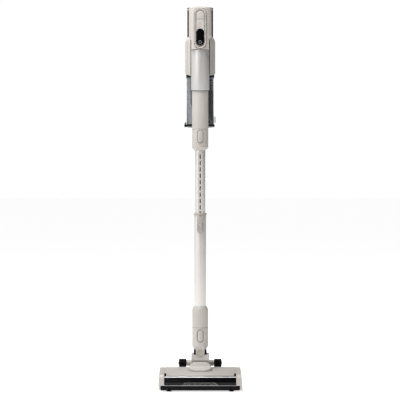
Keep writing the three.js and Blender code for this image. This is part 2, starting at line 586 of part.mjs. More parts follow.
// The raised stadium in the front cover that holds the display and both keys.
function panelBezel() {
  const { half, inner, bottom, top, rim, front, floor, back } = PANEL;
  return cut(
    extrudeY(pill(half, bottom, top), front, back),
    extrudeY(pill(inner, bottom + rim, top - rim), front - 1, floor),
  );
}

const displayLens = () =>
  extrudeY(pill(DISPLAY.half, DISPLAY.bottom, DISPLAY.top), PANEL.front + 0.4, PANEL.floor - GAP);

// Everything between the display and the top of the stadium, cut across into the two keys.
function panelKey(low, high) {
  const { inner, bottom, top, rim, front, floor } = PANEL;
  const both = cut(
    extrudeY(pill(inner - 0.4, bottom + rim + 1, top - rim - 0.4), front + 0.6, floor - 1.6),
    extrudeY(pill(DISPLAY.half + 0.4, bottom + rim, DISPLAY.top + 0.4), front - 1, floor),
  );
  return both.intersect(box(-inner, inner, front - 1, floor, low, high));
}

// The bottom edge of the housing drops towards the front, so this is what lies below it.
function belowHousing() {
  const { front, side } = HOUSING;
  const edge = outline([[0, 900], [0, front], [BODY_Y - 41, front], [BODY_Y, side], [130, side], [130, 900]]);
  return extrudeX(edge, -60, 60);
}

function motorHousing() {
  const { radius, wall, front, straight, top } = HOUSING;
  const body = lathe([[radius - wall, front], [radius, front], [radius, straight], [radius - 1.6, straight + 8],
    [FILTER.radius + 0.6, top], [FILTER.inner, top], [FILTER.inner, top - 3], [radius - 6, top - 3],
    [radius - wall, straight - 2]], 32, 0, BODY_Y);
  const coverRoom = box(-COVER.half - 0.5, COVER.half + 0.5, 10, COVER.back + 0.5, PIPE.top, top + 5);
  return cut(body, belowHousing(), coverRoom);
}

const binSeal = () =>
  cut(ring(HOUSING.radius - HOUSING.wall - 0.4, 36, BIN.top + GAP, 948, 32, 0, BODY_Y), rod(JOINT_R + 0.4, 900, 960));

const exhaustFilter = () =>
  ring(FILTER.radius, FILTER.inner, HOUSING.top + GAP, FILTER.top, 32, 0, BODY_Y);

// The cap slopes down behind the front cover's top edge.
function topCap() {
  const { radius, bottom, top, frontTop } = TOP_CAP;
  const cap = lathe([[0, bottom], [radius, bottom], [radius, top - 1], [radius - 1, top], [34, top],
    [31, top - 1.6], [0, top - 1.6]], 32, 0, BODY_Y);
  return cut(cap, extrudeX(outline([[20, frontTop], [BODY_Y - 6, top + 0.1], [20, top + 2]]), -50, 50));
}

const motorCan = () =>
  cut(
    lathe([[0, 986], [24, 986], [26, 988], [26, 1030], [20, 1036], [9, 1040], [0, 1040]], 32, 0, BODY_Y),
    rod(3.3, 980, 1000, 12, 0, BODY_Y),
  );

function impeller() {
  const bell = lathe([[0, 968], [24, 968], [24, 970], [10, 976], [6, 983], [3, 984], [3, 998], [0, 998]],
    20, 0, BODY_Y);
  const blade = (turn) =>
    solidOf(
      new THREE.BoxGeometry(15, 1.2, 9)
        .translate(15.5, 0, 973.5)
        .rotateZ((turn * 2 * Math.PI) / 7)
        .translate(0, BODY_Y, 0),
    );
  return join(bell, ...Array.from({ length: 7 }, (_, i) => blade(i)));
}

function handle() {
  const { back, top } = BATTERY;
  const low = top + 0.4;
  const loop = new THREE.Shape();
  loop.moveTo(104, low + 5);
  loop.lineTo(112, low);
  loop.lineTo(back, low);
  loop.quadraticCurveTo(REAR_REACH, low + 30, REAR_REACH - 1, 1020);
  loop.quadraticCurveTo(REAR_REACH, 1062, REAR_REACH - 6, 1078);
  loop.quadraticCurveTo(REAR_REACH - 14, 1090, 150, 1086);
  loop.quadraticCurveTo(122, 1076, 108, 1050);
  loop.lineTo(104, 1046);
  const gap = new THREE.Path();
  gap.moveTo(120, 974);
  gap.quadraticCurveTo(120, 964, 130, 964);
  gap.lineTo(138, 964);
  gap.quadraticCurveTo(147, 964, 147, 974);
  gap.lineTo(146, 1040);
  gap.quadraticCurveTo(144, 1052, 132, 1042);
  gap.quadraticCurveTo(120, 1030, 120, 1014);
  loop.holes.push(gap);
  const plan = roundedRectangle(-16, 16, 60, REAR_REACH, 13);
  const foot = extrudeZ(roundedRectangle(-22, 22, 116, back, 8), low, low + 14);
  const solid = join(extrudeX(loop, -16, 16).intersect(extrudeZ(plan, 900, 1100)), foot);
  return cut(solid, rod(HOUSING.radius + GAP, 900, 1100, 32, 0, BODY_Y));
}

place("inlet_sleeve", inletSleeve(), BEIGE);
place("pipe_cover", pipeCover(), SILVER);
place("front_cover", frontCover(), BEIGE);
place("panel_bezel", panelBezel(), BEIGE);
place("display_lens", displayLens(), BLACK);
place("mode_key", panelKey(DISPLAY.top - 12, KEY_SPLIT - 0.5), BEIGE);
place("power_key", panelKey(KEY_SPLIT + 0.5, PANEL.top), BEIGE);
place("control_board", box(-19, 19, -21, -19.4, 1016, 1112), material(0x1f4d36, 0.5));
place("motor_housing", motorHousing(), BEIGE);
place("bin_seal", binSeal(), RUBBER);
place("exhaust_filter", exhaustFilter(), FILTER_GREY);
place("top_cap", topCap(), BLACK);
place("motor_can", motorCan(), STEEL);
place("impeller", impeller(), ALUMINIUM);
place("handle", handle(), BEIGE);

// ---------------------------------------------------------------- dust bin
const sleeveRoom = () => rod(JOINT_R + 0.5, 700, 1000, 32);

function binCup() {
  const { radius, wall, bottom, top } = BIN;
  const cup = ring(radius, radius - wall, bottom + 0.3, top, 32, 0, BODY_Y);
  const inlet = box(-10, 10, 20, 32, 885, 905);
  const latchPad = box(radius - 1, radius + 1.2, BODY_Y - 7, BODY_Y + 7, bottom + 0.3, bottom + 26);
  return cut(join(cup, latchPad), sleeveRoom(), inlet);
}

function binLid() {
  const { radius, bottom, hinge, barrel } = LID;
  const disc = lathe([[0, bottom], [radius - 1.5, bottom], [radius, bottom + 1.5], [radius, BIN.bottom - 2],
    [radius - 1, BIN.bottom - 0.3], [0, BIN.bottom - 0.3]], 32, 0, BODY_Y);
  const knuckle = rodY(barrel, BODY_Y - 12, BODY_Y + 12, -radius - 1, hinge, 20);
  const pinBore = rodY(1.8, BODY_Y - 20, BODY_Y + 20, -radius - 1, hinge, 12);
  const eyeRoom = [BODY_Y - 17, BODY_Y + 12].map((from) =>
    rodY(barrel + 0.5, from, from + 5, -radius - 1, hinge, 20));
  const sleeveSide = box(-radius, radius, 0, JOINT_R + 0.7, 770, 800);
  return cut(join(cut(disc, ...eyeRoom), knuckle), sleeveSide, pinBore);
}

// The hinge bracket on the cup's foot: an eye at each end of the lid's knuckle, and the pin through them.
function hingeBracket() {
  const { radius, hinge, barrel } = LID;
  const eye = (from) => rodY(barrel, from, from + 4, -radius - 1, hinge, 20);
  const arm = (from) => box(-radius - 2.4, -radius + 1.4, from, from + 4, hinge, BIN.bottom + 6);
  const bar = box(-radius - 2.4, -radius + 1.4, BODY_Y - 16.4, BODY_Y + 16.4, BIN.bottom + 3, BIN.bottom + 6);
  const eyes = [BODY_Y - 16.4, BODY_Y + 12.4].flatMap((from) => [eye(from), arm(from)]);
  const pin = rodY(1.5, BODY_Y - 16, BODY_Y + 16, -radius - 1, hinge, 12);
  const clear = rod(BIN.radius + GAP, 770, 810, 32, 0, BODY_Y);
  const lidRoom = rod(radius + GAP, 770, BIN.bottom, 32, 0, BODY_Y);
  return join(cut(join(bar, ...eyes), clear, lidRoom), pin);
}

const lidLatch = () =>
  extrudeX(
    roundedRectangle(BODY_Y - 6, BODY_Y + 6, BIN.bottom + 6, BIN.bottom + 24, 3),
    BIN.radius + 2.9,
    BIN.radius + 5,
  );

const meshShroud = () =>
  lathe([[28.6, 856], [30, 856], [30, 924], [BIN.radius - BIN.wall - 0.4, 924],
    [BIN.radius - BIN.wall - 0.4, 928], [28.6, 928]], 32, 0, BODY_Y);

const cycloneCone = () =>
  lathe([[9, 806], [11, 805], [28, 848], [30, 855.6], [27.5, 855.6], [26, 849]], 20, 0, BODY_Y);

const foamFilter = () => rod(26, 872, 926, 16, 0, BODY_Y);

place("bin_cup", binCup(), SMOKE);
place("bin_lid", binLid(), BLACK);
place("lid_hinge_bracket", hingeBracket(), BLACK);
place("lid_latch", lidLatch(), BLACK);
place("mesh_shroud", meshShroud(), STEEL);
place("cyclone_cone", cycloneCone(), FILTER_GREY);
place("foam_filter", foamFilter(), FILTER_GREY);

// ---------------------------------------------------------------- battery
function batteryCase() {
  const { front, back, half, bottom, top, wall } = BATTERY;
  const outside = extrudeZ(roundedRectangle(-half, half, front, back, 8), bottom, top);
  const inside = extrudeZ(
    roundedRectangle(-half + wall, half - wall, front + wall, back - wall, 6.5),
    bottom + wall,
    top + 1,
  );
  return cut(outside, inside);
}

function batteryCells() {
  const { front, back, bottom, top } = BATTERY;
  const middle = (front + back) / 2;
  const low = bottom + BATTERY.wall + GAP;
  const cells = [-1, 0, 1].flatMap((row) =>
    [-0.5, 0.5].map((side) =>
      rod(CELL.radius, low, low + 65, 16, side * CELL.pitchX, middle + row * CELL.pitchY),
    ),
  );
  return join(box(-18, 18, middle - 25, middle + 25, low + 30, low + 34), ...cells).intersect(
    box(-30, 30, front, back, bottom, top),
  );
}

const batteryLatch = () =>
  extrudeY(roundedRectangle(-9, 9, 915, 929, 3), BATTERY.back + 0.2, BATTERY.back + 2);

place("battery_case", batteryCase(), WARM_GREY);
place("battery_cells", batteryCells(), COPPER);
place("battery_latch", batteryLatch(), BEIGE);

// ---------------------------------------------------------------- the finished group
vacuum.position.y = -(REAR_REACH - FRONT_REACH) / 2;

export default vacuum;
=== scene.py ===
"""The finished look of a cordless stick vacuum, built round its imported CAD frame.

The frame is in metres, +Z up, and the front of the vacuum faces -Y. The pieces made here are drawn in
millimetres about the wand's axis, and in_frame() puts them in the frame. They stand for the CAD's coarser
solids.
"""

import json
import math
import random

import bpy
import bmesh
from mathutils import Matrix, Vector

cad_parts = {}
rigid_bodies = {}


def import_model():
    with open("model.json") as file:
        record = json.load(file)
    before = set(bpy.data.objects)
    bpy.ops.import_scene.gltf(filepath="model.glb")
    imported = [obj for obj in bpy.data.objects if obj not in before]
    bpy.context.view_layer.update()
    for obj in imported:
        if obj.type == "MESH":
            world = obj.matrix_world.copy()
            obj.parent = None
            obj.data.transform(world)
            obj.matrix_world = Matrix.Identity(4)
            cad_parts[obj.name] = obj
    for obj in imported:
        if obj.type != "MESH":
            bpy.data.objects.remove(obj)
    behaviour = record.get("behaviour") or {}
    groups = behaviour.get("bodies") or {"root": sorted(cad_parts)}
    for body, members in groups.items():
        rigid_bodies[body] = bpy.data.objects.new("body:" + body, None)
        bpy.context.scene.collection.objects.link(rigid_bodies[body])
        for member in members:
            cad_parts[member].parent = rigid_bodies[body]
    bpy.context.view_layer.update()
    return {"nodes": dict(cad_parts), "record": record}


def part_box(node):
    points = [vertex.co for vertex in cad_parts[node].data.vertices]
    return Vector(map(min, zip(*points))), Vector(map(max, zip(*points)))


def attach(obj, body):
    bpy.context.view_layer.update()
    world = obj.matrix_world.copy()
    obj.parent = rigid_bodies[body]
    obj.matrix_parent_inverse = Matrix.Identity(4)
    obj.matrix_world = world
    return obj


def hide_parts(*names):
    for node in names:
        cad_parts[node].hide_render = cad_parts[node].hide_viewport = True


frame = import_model()

MM = 0.001
WAND_Y = sum(corner.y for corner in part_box("outer_tube")) / 2
BODY_OF = {node: body for body, nodes in frame["record"]["behaviour"]["bodies"].items() for node in nodes}
SLOT_OF = {part["node"]: part["material_slot"] for part in frame["record"]["subparts"]}


def span(node):
    """A CAD node's lowest and highest corners, in millimetres about the wand's axis."""
    origin = Vector((0, WAND_Y, 0))
    low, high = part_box(node)
    return (low - origin) / MM, (high - origin) / MM


# ------------ driving dimensions, millimetres
ROUND = 96  # steps round a turned piece
GAP = 0.3  # between pieces that fit into each other
BRUSH_LOW, BRUSH_HIGH = span("brush_tufts")
BRUSH_Y = (BRUSH_LOW.y + BRUSH_HIGH.y) / 2
BRUSH_Z = (BRUSH_LOW.z + BRUSH_HIGH.z) / 2
BRUSH_R = (BRUSH_HIGH.z - BRUSH_LOW.z) / 2
CORE_R = 15
WINDOW_R = BRUSH_Y - span("front_window")[0].y
WINDOW_WALL = 2
SILL_TOP, LAMP_ANGLE, WINDOW_TOP = -12.4, -4, 47  # degrees above the forward direction, round the brush
LAMP_R, LAMP_PITCH, LAMP_COUNT = 1.7, 16, 5
SHELL_HALF = span("head_shell")[1].x
SHELL_TOP = [(-66, 48), (-40, 53.2), (-15, 56.7), (4, 57.6), (10, 56), (14, 50)]
SHELL_UNDER = [(11.5, 49), (8.5, 53.4), (3.5, 55), (-15, 54.2), (-40, 51.4), (-64, 46.9)]
SWIVEL_Z = (span("swivel_drum")[0].z + span("swivel_drum")[1].z) / 2
DRUM_R = span("swivel_drum")[1].x
CHEEK, DISC_R = 24, 12.9  # the socket's cheeks, before and behind the swivel drum
JOINT_R = span("inlet_sleeve")[1].x
SOCKET_R, SPIGOT_R, SPIGOT_LENGTH = 20.1, 19.7, 42
AIRWAY_R = 15.5
SOCKET_TOP = span("neck_socket")[1].z
TUBE_R = span("outer_tube")[1].x
INNER_R = span("inner_tube")[1].x
INNER_WALL = 2.4
SLOT_COUNT, SLOT_PITCH, SLOT_FIRST, SLOT_HALF, SLOT_HEIGHT = 15, 18.75, 686, 1.7, 12.8
KEY_HALF = span("head_release_key")[1].x
KEY_PROUD, KEY_GAP, KEY_INSET = 1.5, 0.9, 0.7
BODY_Y = (span("top_cap")[0].y + span("top_cap")[1].y) / 2
BODY_AXIS = (0, BODY_Y)  # of the barrel and the bin
BIN_R, BIN_WALL = 41.5, 2
BIN_LOW, BIN_HIGH = (corner.z for corner in span("bin_cup"))
LID_R = span("bin_lid")[1].x
HOUSING_R = span("motor_housing")[1].x
HOUSING_WALL = 2.6
HOUSING_LOW, HOUSING_HIGH = (corner.z for corner in span("motor_housing"))
FILTER_R, FILTER_INNER = span("exhaust_filter")[1].x, 31
FILTER_TOP = span("exhaust_filter")[1].z
COVER_HALF, COVER_WAIST = span("front_cover")[1].x, 26.5
COVER_FRONT, COVER_BACK, COVER_WALL = -30, 24, 2.5
COVER_BASE, COVER_TOP, COVER_BACK_TOP = span("front_cover")[0].z, 1129, span("front_cover")[1].z
PANEL_HALF, PANEL_INNER, PANEL_RIM = span("panel_bezel")[1].x, 13.4, 3.6
KEY_RIM = 5.8  # from the panel's ends to the keys and the display
PANEL_LOW, PANEL_HIGH = (corner.z for corner in span("panel_bezel"))
PANEL_FRONT, PANEL_FLOOR = span("panel_bezel")[0].y, -27
DISPLAY_HALF, DISPLAY_TOP = span("display_lens")[1].x, span("display_lens")[1].z


# ------------ materials
def linear(hex_colour):
    """A screen colour as the linear colour that shaders use."""
    parts = [int(hex_colour[i : i + 2], 16) / 255 for i in (0, 2, 4)]
    return [c / 12.92 if c <= 0.04045 else ((c + 0.055) / 1.055) ** 2.4 for c in parts] + [1.0]


class Finish:
    """A material whose colour, roughness and grain come from noise laid over the object's own space."""

    def __init__(self, name, colour, roughness, metallic=0.0):
        self.material = bpy.data.materials.new(name)
        self.material.use_nodes = True
        self.nodes = self.material.node_tree.nodes
        self.links = self.material.node_tree.links
        self.shader = self.nodes["Principled BSDF"]
        self.colour = linear(colour)
        self.roughness = roughness
        self.set(Base_Color=self.colour, Roughness=roughness, Metallic=metallic)
        self.coordinates = self.nodes.new("ShaderNodeTexCoord").outputs["Object"]

    def set(self, **values):
        """Sets shader sockets by name, with spaces as underscores."""
        for name, value in values.items():
            self.shader.inputs[name.replace("_", " ")].default_value = value
        return self

    def noise(self, scale, stretch, detail=3.0):
        """Noise over the object's own space, drawn out by stretch."""
        mapping = self.nodes.new("ShaderNodeMapping")
        mapping.inputs["Scale"].default_value = stretch
        self.links.new(self.coordinates, mapping.inputs["Vector"])
        noise = self.nodes.new("ShaderNodeTexNoise")
        noise.inputs["Scale"].default_value = scale
        noise.inputs["Detail"].default_value = detail
        self.links.new(mapping.outputs["Vector"], noise.inputs["Vector"])
        return noise.outputs["Fac"]

    def remap(self, value, low, high):
        """Noise, most of which lies between 0.3 and 0.7, spread between low and high."""
        ranged = self.nodes.new("ShaderNodeMapRange")
        ranged.inputs["From Min"].default_value = 0.3
        ranged.inputs["From Max"].default_value = 0.7
        ranged.inputs["To Min"].default_value = low
        ranged.inputs["To Max"].default_value = high
        self.links.new(value, ranged.inputs["Value"])
        return ranged.outputs["Result"]

    def mottle(self, other, scale, stretch=(1, 1, 1)):
        """Drifts the colour towards another one in soft patches."""
        mix = self.nodes.new("ShaderNodeMix")
        mix.data_type = "RGBA"
        mix.inputs[6].default_value = self.colour
        mix.inputs[7].default_value = linear(other)
        self.links.new(self.remap(self.noise(scale, stretch), 0.0, 1.0), mix.inputs["Factor"])
        self.links.new(mix.outputs[2], self.shader.inputs["Base Color"])
        return self

    def wear(self, spread, scale, stretch=(1, 1, 1)):
        """Varies the roughness, as handling does."""
        low, high = max(self.roughness - spread, 0.02), self.roughness + spread
        worn = self.remap(self.noise(scale, stretch), low, high)
        self.links.new(worn, self.shader.inputs["Roughness"])
        return self

    def grain(self, scale, height, strength, stretch=(1, 1, 1)):
        """Raises a fine surface texture of that height in metres."""
        bump = self.nodes.new("ShaderNodeBump")
        bump.inputs["Strength"].default_value = strength
        bump.inputs["Distance"].default_value = height
        self.links.new(self.noise(scale, stretch, 2.0), bump.inputs["Height"])
        self.links.new(bump.outputs["Normal"], self.shader.inputs["Normal"])
        return self


def beige_plastic():
    finish = Finish("beige_plastic", "B9B4AE", 0.42)
    return finish.mottle("B2ACA6", 9).wear(0.06, 60).grain(2600, 0.00006, 0.35).material


def warm_grey_plastic():
    finish = Finish("warm_grey_plastic", "A8A29B", 0.42)
    return finish.mottle("A09A93", 14).wear(0.06, 70).grain(2600, 0.00006, 0.35).material


def silver_paint():
    finish = Finish("silver_paint", "CDCBC9", 0.42, 0.5)
    finish.mottle("C0BEBB", 30, (1, 1, 0.15)).wear(0.05, 120, (6, 6, 0.2))
    return finish.grain(5200, 0.00002, 0.3).material


def anodised_tube():
    finish = Finish("anodised_tube", "D6D3CF", 0.38, 0.5)
    finish.mottle("D0CDC9", 20, (1, 1, 0.1)).wear(0.02, 300, (8, 8, 0.12))
    return finish.grain(900, 0.00002, 0.4, (10, 10, 0.05)).material


def bright_steel():
    finish = Finish("bright_steel", "B9BBBE", 0.3, 1.0)
    finish.mottle("A3A6AA", 60).wear(0.08, 200, (1, 8, 8))
    return finish.grain(1500, 0.00002, 0.4, (1, 8, 8)).material


def motor_case():
    finish = Finish("motor_case_metal", "A9ABAE", 0.38, 0.9)
    return finish.mottle("8F9296", 40).wear(0.08, 160).grain(2200, 0.00002, 0.3).material


def black_plastic():
    finish = Finish("black_moulding", "08080A", 0.4).set(Specular_IOR_Level=0.1)
    return finish.mottle("0B0B0D", 25).wear(0.08, 90).grain(2400, 0.00006, 0.4).material


def gloss_black():
    finish = Finish("gloss_black_glass", "040405", 0.07).set(Specular_IOR_Level=0.2)
    return finish.mottle("070708", 30).wear(0.02, 80).material


def black_rubber():
    finish = Finish("soft_rubber", "08080A", 0.6).set(Specular_IOR_Level=0.08)
    return finish.mottle("0D0D0F", 45).wear(0.1, 120).grain(1800, 0.0001, 0.5).material


def smoked_window():
    finish = Finish("smoked_window", "0E0E10", 0.08)
    finish.set(Transmission_Weight=0.3, IOR=1.35, Specular_IOR_Level=0.3)
    return finish.mottle("0A0A0C", 20).wear(0.03, 50).material


def smoked_bin():
    finish = Finish("smoked_bin", "C2C4C8", 0.07).set(Transmission_Weight=0.92, IOR=1.3)
    return finish.mottle("BBBDC1", 12).wear(0.03, 50).material


def filter_grey():
    finish = Finish("filter_moulding", "1B1B1D", 0.6).set(Specular_IOR_Level=0.1)
    return finish.mottle("141416", 40).wear(0.08, 90).grain(2000, 0.00008, 0.4).material


def nylon_bristle():
    finish = Finish("nylon_bristle", "33343B", 0.65)
    return finish.mottle("4A4B55", 220).wear(0.1, 300).grain(3000, 0.0001, 0.5).material


def circuit_board():
    finish = Finish("circuit_laminate", "1F5A3C", 0.45)
    return finish.mottle("17452E", 300).wear(0.1, 200).material


def open_foam():
    finish = Finish("open_foam", "3A3C42", 0.9)
    return finish.mottle("24252A", 500).grain(900, 0.0008, 0.8).material


def bright_trim():
    finish = Finish("bright_trim", "F2F2F2", 0.25, 0.15)
    return finish.mottle("E9E9E9", 60, (0.1, 1, 1)).wear(0.05, 200).material


def icon_grey():
    finish = Finish("icon_print", "6E6E70", 0.5)
    return finish.mottle("606063", 400).wear(0.05, 500).material


def lamp_lens():
    finish = Finish("lamp_lens", "4E4B40", 0.3)
    finish.set(Emission_Color=linear("FFF1C4"), Emission_Strength=0.03)
    return finish.mottle("5A5649", 200).wear(0.05, 300).material


SLOTS = {
    "beige_shell": beige_plastic(),
    "warm_grey": warm_grey_plastic(),
    "silver_trim": silver_paint(),
    "aluminium_tube": anodised_tube(),
    "steel": bright_steel(),
    "motor_case": motor_case(),
    "black_plastic": black_plastic(),
    "gloss_black": gloss_black(),
    "black_rubber": black_rubber(),
    "smoke_window": smoked_window(),
    "smoke_bin": smoked_bin(),
    "filter_grey": filter_grey(),
    "bristle": nylon_bristle(),
    "circuit_board": circuit_board(),
}
FOAM = open_foam()
LENS = lamp_lens()
ICON = icon_grey()
TRIM = bright_trim()


# ------------ mesh tools
SMOOTH_BELOW = 34  # degrees between two faces that are shaded as one surface
SHARP_EDGE = 40  # degrees between two faces whose edge is rounded


def as_object(name, mesh):
    piece = bpy.data.objects.new(name, mesh)
    bpy.context.scene.collection.objects.link(piece)
    return piece


def in_frame(name, form):
    """A form drawn in millimetres about the wand's axis, as an object in the frame."""
    form.transform(Matrix.Translation((0, WAND_Y, 0)) @ Matrix.Scale(MM, 4))
    mesh = bpy.data.meshes.new(name)
    form.to_mesh(mesh)
    form.free()
    return as_object(name, mesh)


def closed(name, form):
    """The same for a closed form, with its doubled points merged and its faces turned outwards."""
    bmesh.ops.remove_doubles(form, verts=form.verts, dist=1e-4)
    bmesh.ops.recalc_face_normals(form, faces=form.faces)
    return in_frame(name, form)


def dress(piece, body, slot, material=None, degrees=SMOOTH_BELOW):
    """The piece rides on that body, smooth except across its sharp edges, in that slot's material."""
    piece.data.materials.clear()
    piece.data.materials.append(material or SLOTS[slot])
    piece.data.shade_smooth()
    piece.data.set_sharp_from_angle(angle=math.radians(degrees))
    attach(piece, body)
    return piece


def stand_in(piece, material=None, degrees=SMOOTH_BELOW):
    """A piece named after a CAD node takes its body and slot, and is shown in its place."""
    node = piece.name.removesuffix("_form")
    dress(piece, BODY_OF[node], SLOT_OF[node], material, degrees)
    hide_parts(node)
    return piece


def path(*moves, steps=10):
    """Points along an outline. A move is a point, or a curve's control points and its end in one tuple."""
    points = [moves[0]]
    for move in moves[1:]:
        a = Vector(points[-1])
        if len(move) == 2:
            points.append(move)
        elif len(move) == 4:
            b, c = Vector(move[:2]), Vector(move[2:])
            for k in range(1, steps + 1):
                t = k / steps
                points.append(tuple(a * (1 - t) ** 2 + b * 2 * t * (1 - t) + c * t * t))
        else:
            b, c, d = Vector(move[:2]), Vector(move[2:4]), Vector(move[4:])
            for k in range(1, steps + 1):
                t = k / steps
                s = 1 - t
                points.append(tuple(a * s**3 + b * 3 * t * s * s + c * 3 * t * t * s + d * t**3))
    return points


def through(points, steps=6):
    """A smooth curve through every one of the points."""
    known = [Vector(p) for p in points]
    ends = [known[0] * 2 - known[1], *known, known[-1] * 2 - known[-2]]
    curve = []
    for a, b, c, d in zip(ends, ends[1:], ends[2:], ends[3:]):
        for k in range(steps):
            t = k / steps
            curve.append(tuple(0.5 * (b * 2 + (c - a) * t + (a * 2 - b * 5 + c * 4 - d) * t * t
                                      + (b * 3 - a - c * 3 + d) * t**3)))
    return [*curve, tuple(known[-1])]


def rounded(corners, radius, steps=3):
    """A closed (radius, height) outline with each corner off the axis turned into a small arc."""
    points = []
    most = 0.45  # of the way along a side, so that two arcs never meet
    for i, corner in enumerate(corners):
        here = Vector(corner)
        before, after = Vector(corners[i - 1]), Vector(corners[(i + 1) % len(corners)])
        reach = min(radius, (before - here).length * most, (after - here).length * most)
        if here.x < 1e-6 or reach < 1e-4:
            points.append(tuple(here))
            continue
        start = here + (before - here).normalized() * reach
        end = here + (after - here).normalized() * reach
        for k in range(steps + 1):
            t = k / steps
            points.append(tuple(start * (1 - t) ** 2 + here * 2 * t * (1 - t) + end * t * t))
    return points


AXES = {
    "X": Matrix(((0, 0, 1), (1, 0, 0), (0, 1, 0))),
    "Y": Matrix(((1, 0, 0), (0, 0, 1), (0, 1, 0))),
    "Z": Matrix.Identity(3),
}


def skinned(name, form, rings, outline):
    """Joins each ring of an outline's points to the next one, except along the axis."""
    count = len(outline)
    for here, there in zip(rings, rings[1:] + rings[:1]):
        for i in range(count):
            j = (i + 1) % count
            if outline[i][0] > 1e-6 or outline[j][0] > 1e-6:
                form.faces.new((here[i], there[i], there[j], here[j]))
    return closed(name, form)


def turned(name, profile, axis="Z", centre=(0, 0), radius=0.6, steps=ROUND):
    """A closed (radius, distance along the axis) outline, turned about an axis."""
    outline = rounded(profile, radius) if radius else profile
    turn = AXES[axis]
    form = bmesh.new()
    rings = []
    for k in range(steps):
        a = 2 * math.pi * k / steps
        ring = []
        for r, along in outline:
            place = Vector((centre[0] + r * math.cos(a), centre[1] + r * math.sin(a), along))
            ring.append(form.verts.new(turn @ place))
        rings.append(ring)
    return skinned(name, form, rings, outline)


def ring(name, inner, outer, low, high, axis="Z", centre=(0, 0), edge=0.3, steps=ROUND):
    """A plain ring between two radii."""
    profile = [(inner, low), (outer, low), (outer, high), (inner, high)]
    return turned(name, profile, axis, centre, edge, steps)


def rod(name, radius, low, high, axis="Z", centre=(0, 0), steps=ROUND):
    """A plain round form. It cuts holes and rooms, or is joined to a larger piece."""
    return ring(name, 0, radius, low, high, axis, centre, 0, steps)


def prism(name, outline, axis, low, high):
    """A closed outline pushed along an axis. It is drawn in (Y, Z) for X, (X, Z) for Y and (X, Y) for Z."""
    form = bmesh.new()
    turn = AXES[axis]
    near = [form.verts.new(turn @ Vector((a, b, low))) for a, b in outline]
    far = [form.verts.new(turn @ Vector((a, b, high))) for a, b in outline]
    form.faces.new(near)
    form.faces.new(far)
    for i in range(len(outline)):
        j = (i + 1) % len(outline)
        form.faces.new((near[i], near[j], far[j], far[i]))
    return closed(name, form)


def block(name, low, high):
    """A plain square form between two corners. It cuts rooms, or is joined to a larger piece."""
    outline = [(low[0], low[1]), (high[0], low[1]), (high[0], high[1]), (low[0], high[1])]
    return prism(name, outline, "Z", low[2], high[2])


def pill(name, half, low, high, front, back, steps=24):
    """An upright pill between two heights, pushed from front to back."""
    outline = []
    for start, middle in ((math.pi, low + half), (0, high - half)):
        for k in range(steps + 1):
            a = start + math.pi * k / steps
            outline.append((half * math.cos(a), middle + half * math.sin(a)))
    return prism(name, outline, "Y", front, back)


def rounded_rectangle(x0, x1, y0, y1, r, steps=8):
    corners = ((x1 - r, y0 + r), (x1 - r, y1 - r), (x0 + r, y1 - r), (x0 + r, y0 + r))
    points = []
    for quarter, (cx, cy) in enumerate(corners):
        for k in range(steps + 1):
            a = math.radians(90 * (quarter - 1) + 90 * k / steps)
            points.append((cx + r * math.cos(a), cy + r * math.sin(a)))
    return points


def around_brush(radius, degrees):
    """A point in (Y, Z) on a circle about the brush's axis, by its angle above the forward direction."""
    a = math.radians(degrees)
    return (BRUSH_Y - radius * math.cos(a), BRUSH_Z + radius * math.sin(a))


def brush_arc(radius, start, end, steps):
    return [around_brush(radius, start + (end - start) * k / steps) for k in range(steps + 1)]


def strip(name, outer, inner, start, end, half, steps=24):
    """A curved strip between two radii and two angles about the brush's axis."""
    outline = brush_arc(outer, start, end, steps) + brush_arc(inner, start, end, steps)[::-1]
    return prism(name, outline, "X", -half, half)


def apply(piece):
    """Bakes the modifiers into the piece's own mesh."""
    graph = bpy.context.evaluated_depsgraph_get()
    mesh = bpy.data.meshes.new_from_object(piece.evaluated_get(graph))
    piece.modifiers.clear()
    piece.data = mesh
    return piece


def combine(operation, piece, tools):
    """Cuts, joins or crosses the piece with the tools, which are used up."""
    for tool in tools:
        step = piece.modifiers.new("combine", "BOOLEAN")
        step.operation = operation
        step.solver = "EXACT"
        step.object = tool
    apply(piece)
    for tool in tools:
        bpy.data.objects.remove(tool)
    return piece


def cut(piece, *tools):
    return combine("DIFFERENCE", piece, tools)


def join(piece, *tools):
    return combine("UNION", piece, tools)


def shared(piece, *tools):
    return combine("INTERSECT", piece, tools)


def edge_radius(piece, width, segments):
    """Modifiers that weld the piece, merge its flat faces and round every sharp edge."""
    clean = piece.modifiers.new("clean", "WELD")
    clean.merge_threshold = 0.02 * MM
    flat = piece.modifiers.new("flat", "DECIMATE")
    flat.decimate_type = "DISSOLVE"
    flat.angle_limit = math.radians(0.5)
    soft = piece.modifiers.new("soft", "BEVEL")
    soft.width = width * MM
    soft.segments = segments
    soft.limit_method = "ANGLE"
    soft.angle_limit = math.radians(SHARP_EDGE)
    return soft


def bevel(piece, width, segments=3):
    edge_radius(piece, width, segments)
    return apply(piece)


def soften(piece, voxel=0.8, passes=6):
    """Rebuilds a piece from small cells and smooths it, so that every edge has a moulded radius."""
    cells = piece.modifiers.new("cells", "REMESH")
    cells.mode = "VOXEL"
    cells.voxel_size = voxel * MM
    soft = piece.modifiers.new("soft", "SMOOTH")
    soft.factor = 0.5
    soft.iterations = passes
    return apply(piece)


def copy_of(node):
    """A CAD node's own mesh, to be softened."""
    return as_object(f"{node}_form", frame["nodes"][node].data.copy())


# ------------ camera, light and floor, metres
CAMERA_X, CAMERA_AWAY, CAMERA_HEIGHT = -0.0006, 2.8286, 0.590  # level, straight in front of the wand
CAMERA_LENS, CAMERA_SENSOR = 85.2, 36  # millimetres
CAMERA_SHIFT = -0.02725  # the frame reaches further down than up
FLOOR_RADIUS = 60
FLOOR_GLOW = 0.54
